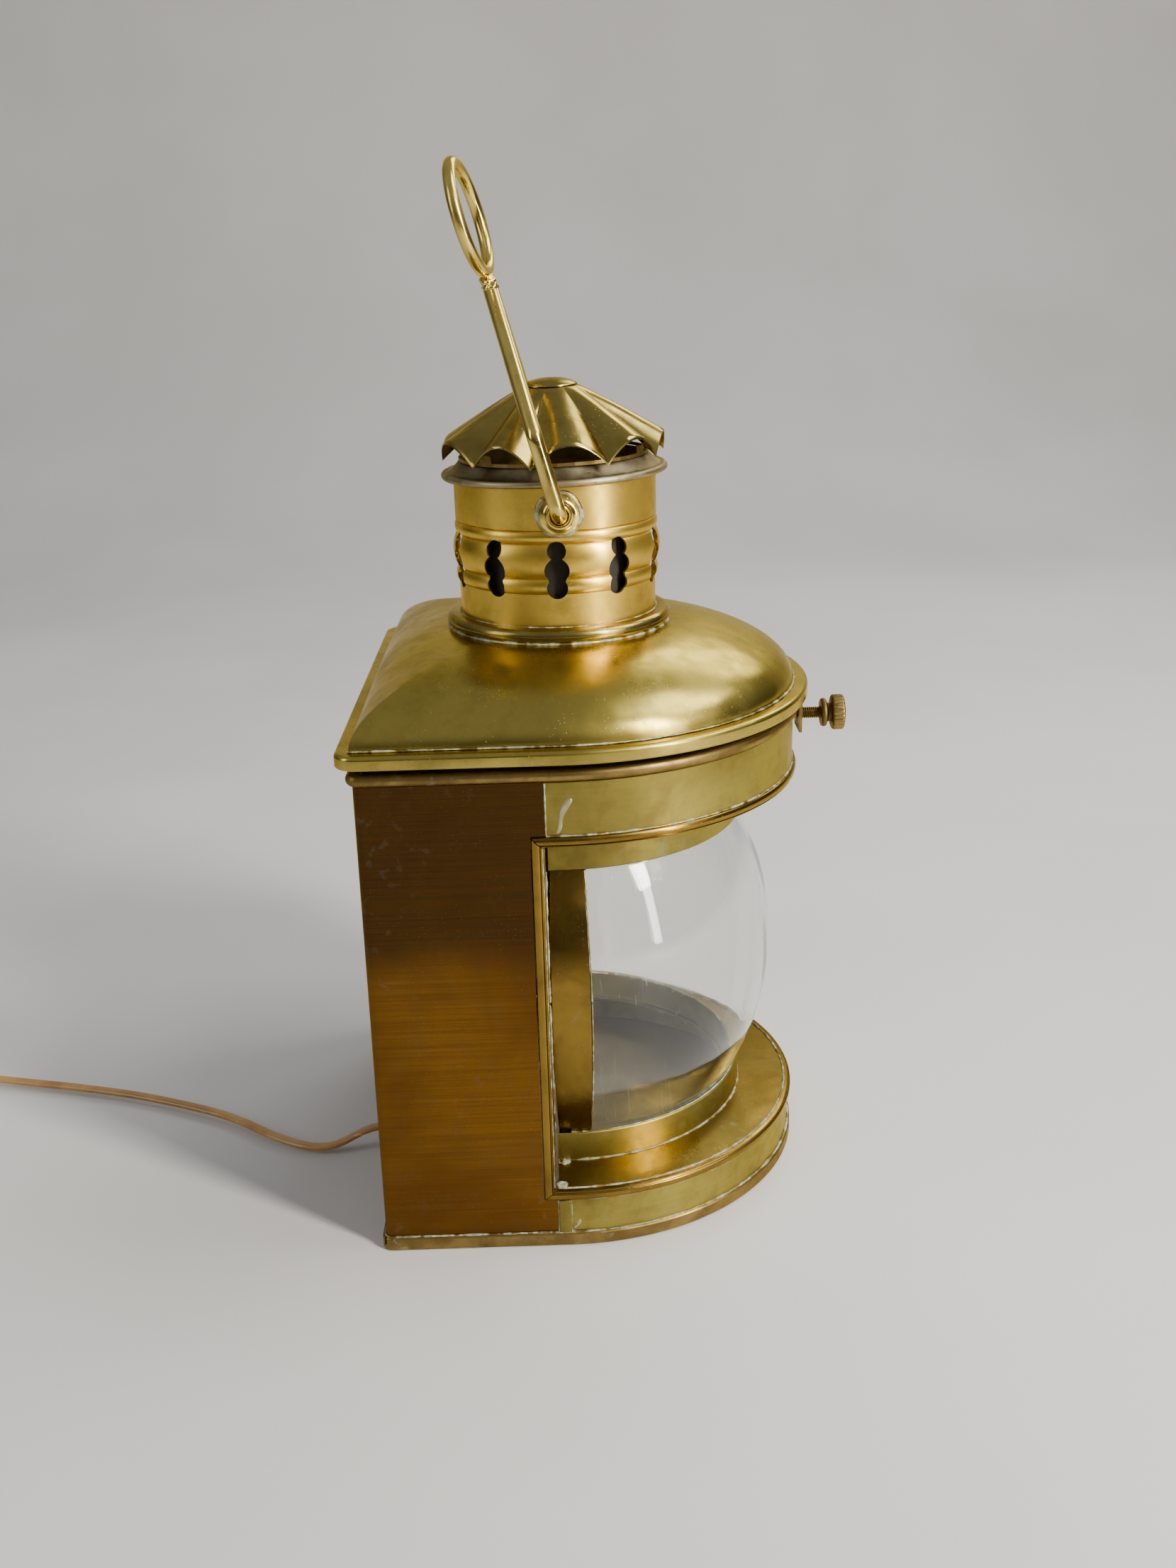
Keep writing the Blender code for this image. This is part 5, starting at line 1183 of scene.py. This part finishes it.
for side, tag in ((-1.0, "left"), (1.0, "right")):
    for name, inset, y, low, high, radius, seed in (
            ("upper_seam_solder_", FACE, SEAM_Y, UPPER_BAND_BOTTOM + 0.5 * MM, UPPER_BAND_TOP - 0.3 * MM, 0.36, 24.0),
            ("strap_back_solder_", 0.25 * MM, SEAM_Y + 0.15 * MM, BASE_LIP_Z + 0.4 * MM,
             LOWER_BAND_TOP - 0.2 * MM, 0.40, 27.0),
            ("strap_front_solder_", 0.2 * MM, SEAM_Y - STRAP_WIDTH - 0.1 * MM, BASE_LIP_Z + 0.4 * MM,
             LOWER_BAND_TOP - 0.2 * MM, 0.40, 31.0),
            ("bead_inner_solder_", -SHEET - 0.1 * MM, BEAD_INNER_Y + 0.1 * MM, LOWER_BAND_TOP + 5.5 * MM,
             UPPER_BAND_BOTTOM - 6.0 * MM, 0.40, 34.0)):
        x = side * (HALF_WIDTH + inset)
        solder_run(name + tag, evenly([Vector((x, y, low)), Vector((x, y, high))], 1.3 * MM), radius * MM,
                   seed + side)
    cheek_line = edge_line(side, CHEEK_BACK_DEG, barrel_heights(90)[1:-1], REVEAL_Y - 0.25 * MM)
    putty_line = edge_line(side, GLASS_EDGE_DEG - 0.15, barrel_heights(90)[2:-2])
    solder_run("cheek_solder_" + tag, evenly(cheek_line, 1.3 * MM), 0.50 * MM, 38.0 + side)
    solder_run("glass_edge_line_" + tag, evenly(putty_line, 1.3 * MM), 0.33 * MM, 41.0 + side)
    solder_blob("sill_corner_solder_" + tag, Vector((side * 87.6 * MM, 3.2 * MM, SILL_FACE_Z + 0.5 * MM)),
                (3.2, 3.0, 1.3), 44.0 + side, body="case", slot="brass_dull")
    solder_blob("reveal_corner_solder_" + tag, Vector((side * 107.8 * MM, 4.6 * MM, SILL_FACE_Z + 0.4 * MM)),
                (2.6, 2.6, 1.0), 48.0 + side, body="case", slot="brass_dull")

roof_line = dome_ring(0.004, -0.2 * MM)
rim_line = circle(COLLAR_RADIUS + 0.3 * MM, 200, COLLAR_TOP - 0.1 * MM, CHIMNEY_AXIS)
for point in rim_line:
    point.z -= (point.y - CHIMNEY_Y) * crown_slope
for name, line, radius, seed, flat in (
        ("roof_flange_solder", evenly(roof_line + roof_line[:1], 1.8 * MM)[:-1], 0.55, 52.0, 0.7),
        ("chimney_foot_solder", circle(51.2 * MM, 220, DOME_TOP + 0.30 * MM, CHIMNEY_AXIS), 0.85, 56.0, 1.0),
        ("chimney_ring_solder", circle(COLLAR_FOOT_RADIUS + 0.3 * MM, 200, DOME_TOP + 6.7 * MM, CHIMNEY_AXIS), 0.34,
         58.0, 1.0),
        ("rim_plate_solder", rim_line, 0.42, 61.0, 1.0)):
    solder_run(name, line, radius * MM, seed, "lid", True, flat)

# A flat bed of solder round the foot of each eyelet.
for middle, tag, shift, finish in ((math.pi, "left", 1.0, solder), (0.0, "right", 0.0, smear)):
    rings = []
    for share, sunk in ((0.0, 0), (0.35, 0), (0.62, 0), (0.80, 0), (0.92, 0), (1.0, 0), (1.0, 1)):
        reach = COLLAR_RADIUS + (-0.3 * MM if sunk else 1.05 * MM * math.sqrt(1.0 - share ** 3) + 0.10 * MM)
        ring = []
        for k in range(64):
            a = 2.0 * math.pi * k / 64
            wander = 1.0 + 0.10 * noise.noise(Vector((math.cos(a) * 1.3 + shift, math.sin(a) * 1.3, 7.0)))
            radius = (2.0 + 8.6 * share) * MM * wander
            turn = middle + math.radians(BAIL_TWIST_DEG) + radius * math.cos(a) / COLLAR_RADIUS
            ring.append(Vector((reach * math.cos(turn), CHIMNEY_Y + reach * math.sin(turn),
                                EYELET_Z + radius * math.sin(a))))
        rings.append(ring)
    piece("eyelet_solder_" + tag, loft(rings), finish, body="lid", slot="brass_dull", angle=70.0)

# Thin smears of solder on the curved front; each outline holds (mm along, height in mm) pairs.
for name, centre_deg, outline in (
        ("upper_band_smear", 177.6, [(3.6, 200.6), (5.4, 203.0), (6.1, 208.0), (8.4, 212.2), (10.2, 215.6),
                                     (8.6, 216.3), (6.2, 213.6), (4.4, 209.5), (3.9, 204.0), (2.9, 201.2)]),
        ("lower_band_smear", 180.6, [(-0.6, 7.4), (1.0, 8.6), (2.6, 10.8), (2.2, 12.6), (0.9, 11.6), (0.7, 9.8),
                                     (-0.8, 8.8)])):
    line = smooth_profile(outline, 5, closed=True)
    middle = [sum(p[i] for p in line) / len(line) for i in (0, 1)]
    rings = []
    for share, lift in ((1.0, 0.02), (0.97, 0.16), (0.75, 0.24), (0.35, 0.28), (0.02, 0.28)):
        reach = HALF_WIDTH + lift * MM
        ring = []
        for along, height in line:
            a = math.radians(centre_deg) + (middle[0] + (along - middle[0]) * share) * MM / HALF_WIDTH
            ring.append(Vector((reach * math.cos(a), reach * math.sin(a),
                                (middle[1] + (height - middle[1]) * share) * MM)))
        rings.append(ring)
    piece(name, loft(rings), smear, body="case", slot="brass_dull", angle=80.0)

# ---- floor, backdrop and light ----------------------------------------------

surface = Surface("pale_floor")
floor_tone = surface.mix(surface.span(surface.noise(2.2, 3.0), 0.3, 0.7), (0.60, 0.585, 0.56), (0.66, 0.645, 0.62))
floor_material = surface.finish(floor_tone, 0.62, 0.0, surface.bump(surface.noise(300.0, 3.0), 0.0001, 0.4))
profile = [(-2.6, 0.0)]
for k in range(17):
    a = math.radians(90.0 * k / 16)
    profile.append((1.5 + 0.8 * math.sin(a), 0.8 - 0.8 * math.cos(a)))
profile.append((2.3, 2.6))
sweep = bmesh.new()
sides = [[sweep.verts.new((x, y, z - 0.5 * MM)) for x, z in profile] for y in (-3.0, 3.0)]
for k in range(len(profile) - 1):
    sweep.faces.new((sides[0][k], sides[1][k], sides[1][k + 1], sides[0][k + 1]))
bmesh.ops.recalc_face_normals(sweep, faces=sweep.faces)
floor_mesh = bpy.data.meshes.new("floor")
sweep.to_mesh(floor_mesh)
sweep.free()
floor_mesh.shade_smooth()
floor_mesh.materials.append(floor_material)
floor = bpy.data.objects.new("floor", floor_mesh)
bpy.context.scene.collection.objects.link(floor)

WHITE = (1.0, 1.0, 1.0)
WARM = (1.0, 0.96, 0.88)
for name, place, target_z, size, power, colour in (
        ("key_softbox", (-1.05, -1.25, 1.25), 0.2, (0.24, 0.9), 46.0, WARM),
        ("left_softbox", (-0.7, 1.6, 1.0), 0.2, (0.6, 1.2), 8.0, WHITE),
        ("top_softbox", (0.1, -1.2, 1.9), 0.1, (1.0, 1.0), 22.0, WHITE),
        ("strip_softbox", (-0.80, -0.95, 0.48), 0.2, (0.10, 0.80), 8.0, WARM),
        ("back_softbox", (1.3, -0.7, 1.3), 0.2, (0.9, 0.6), 9.0, WHITE)):
    data = bpy.data.lights.new(name, "AREA")
    data.shape = "RECTANGLE"
    data.size, data.size_y = size
    data.energy = power
    data.color = colour
    light = bpy.data.objects.new(name, data)
    light.location = place
    light.rotation_euler = (Vector((0.0, 0.0, target_z)) - Vector(place)).to_track_quat("-Z", "Y").to_euler()
    bpy.context.scene.collection.objects.link(light)

world = bpy.data.worlds.new("studio")
bpy.context.scene.world = world
world.use_nodes = True
tree = world.node_tree
background = tree.nodes["Background"]
direction = tree.nodes.new("ShaderNodeTexCoord").outputs["Generated"]
parts = tree.nodes.new("ShaderNodeSeparateXYZ")
tree.links.new(direction, parts.inputs[0])
height = tree.nodes.new("ShaderNodeMapRange")
height.interpolation_type = "SMOOTHSTEP"
tree.links.new(parts.outputs[2], height.inputs[0])
height.inputs[1].default_value = -0.05
height.inputs[2].default_value = 0.75
shade = tree.nodes.new("ShaderNodeMix")
shade.data_type = "RGBA"
tree.links.new(height.outputs[0], shade.inputs[0])
shade.inputs[6].default_value = (0.07, 0.065, 0.055, 1.0)
shade.inputs[7].default_value = (0.33, 0.34, 0.36, 1.0)
tree.links.new(shade.outputs[2], background.inputs[0])
background.inputs[1].default_value = 1.0
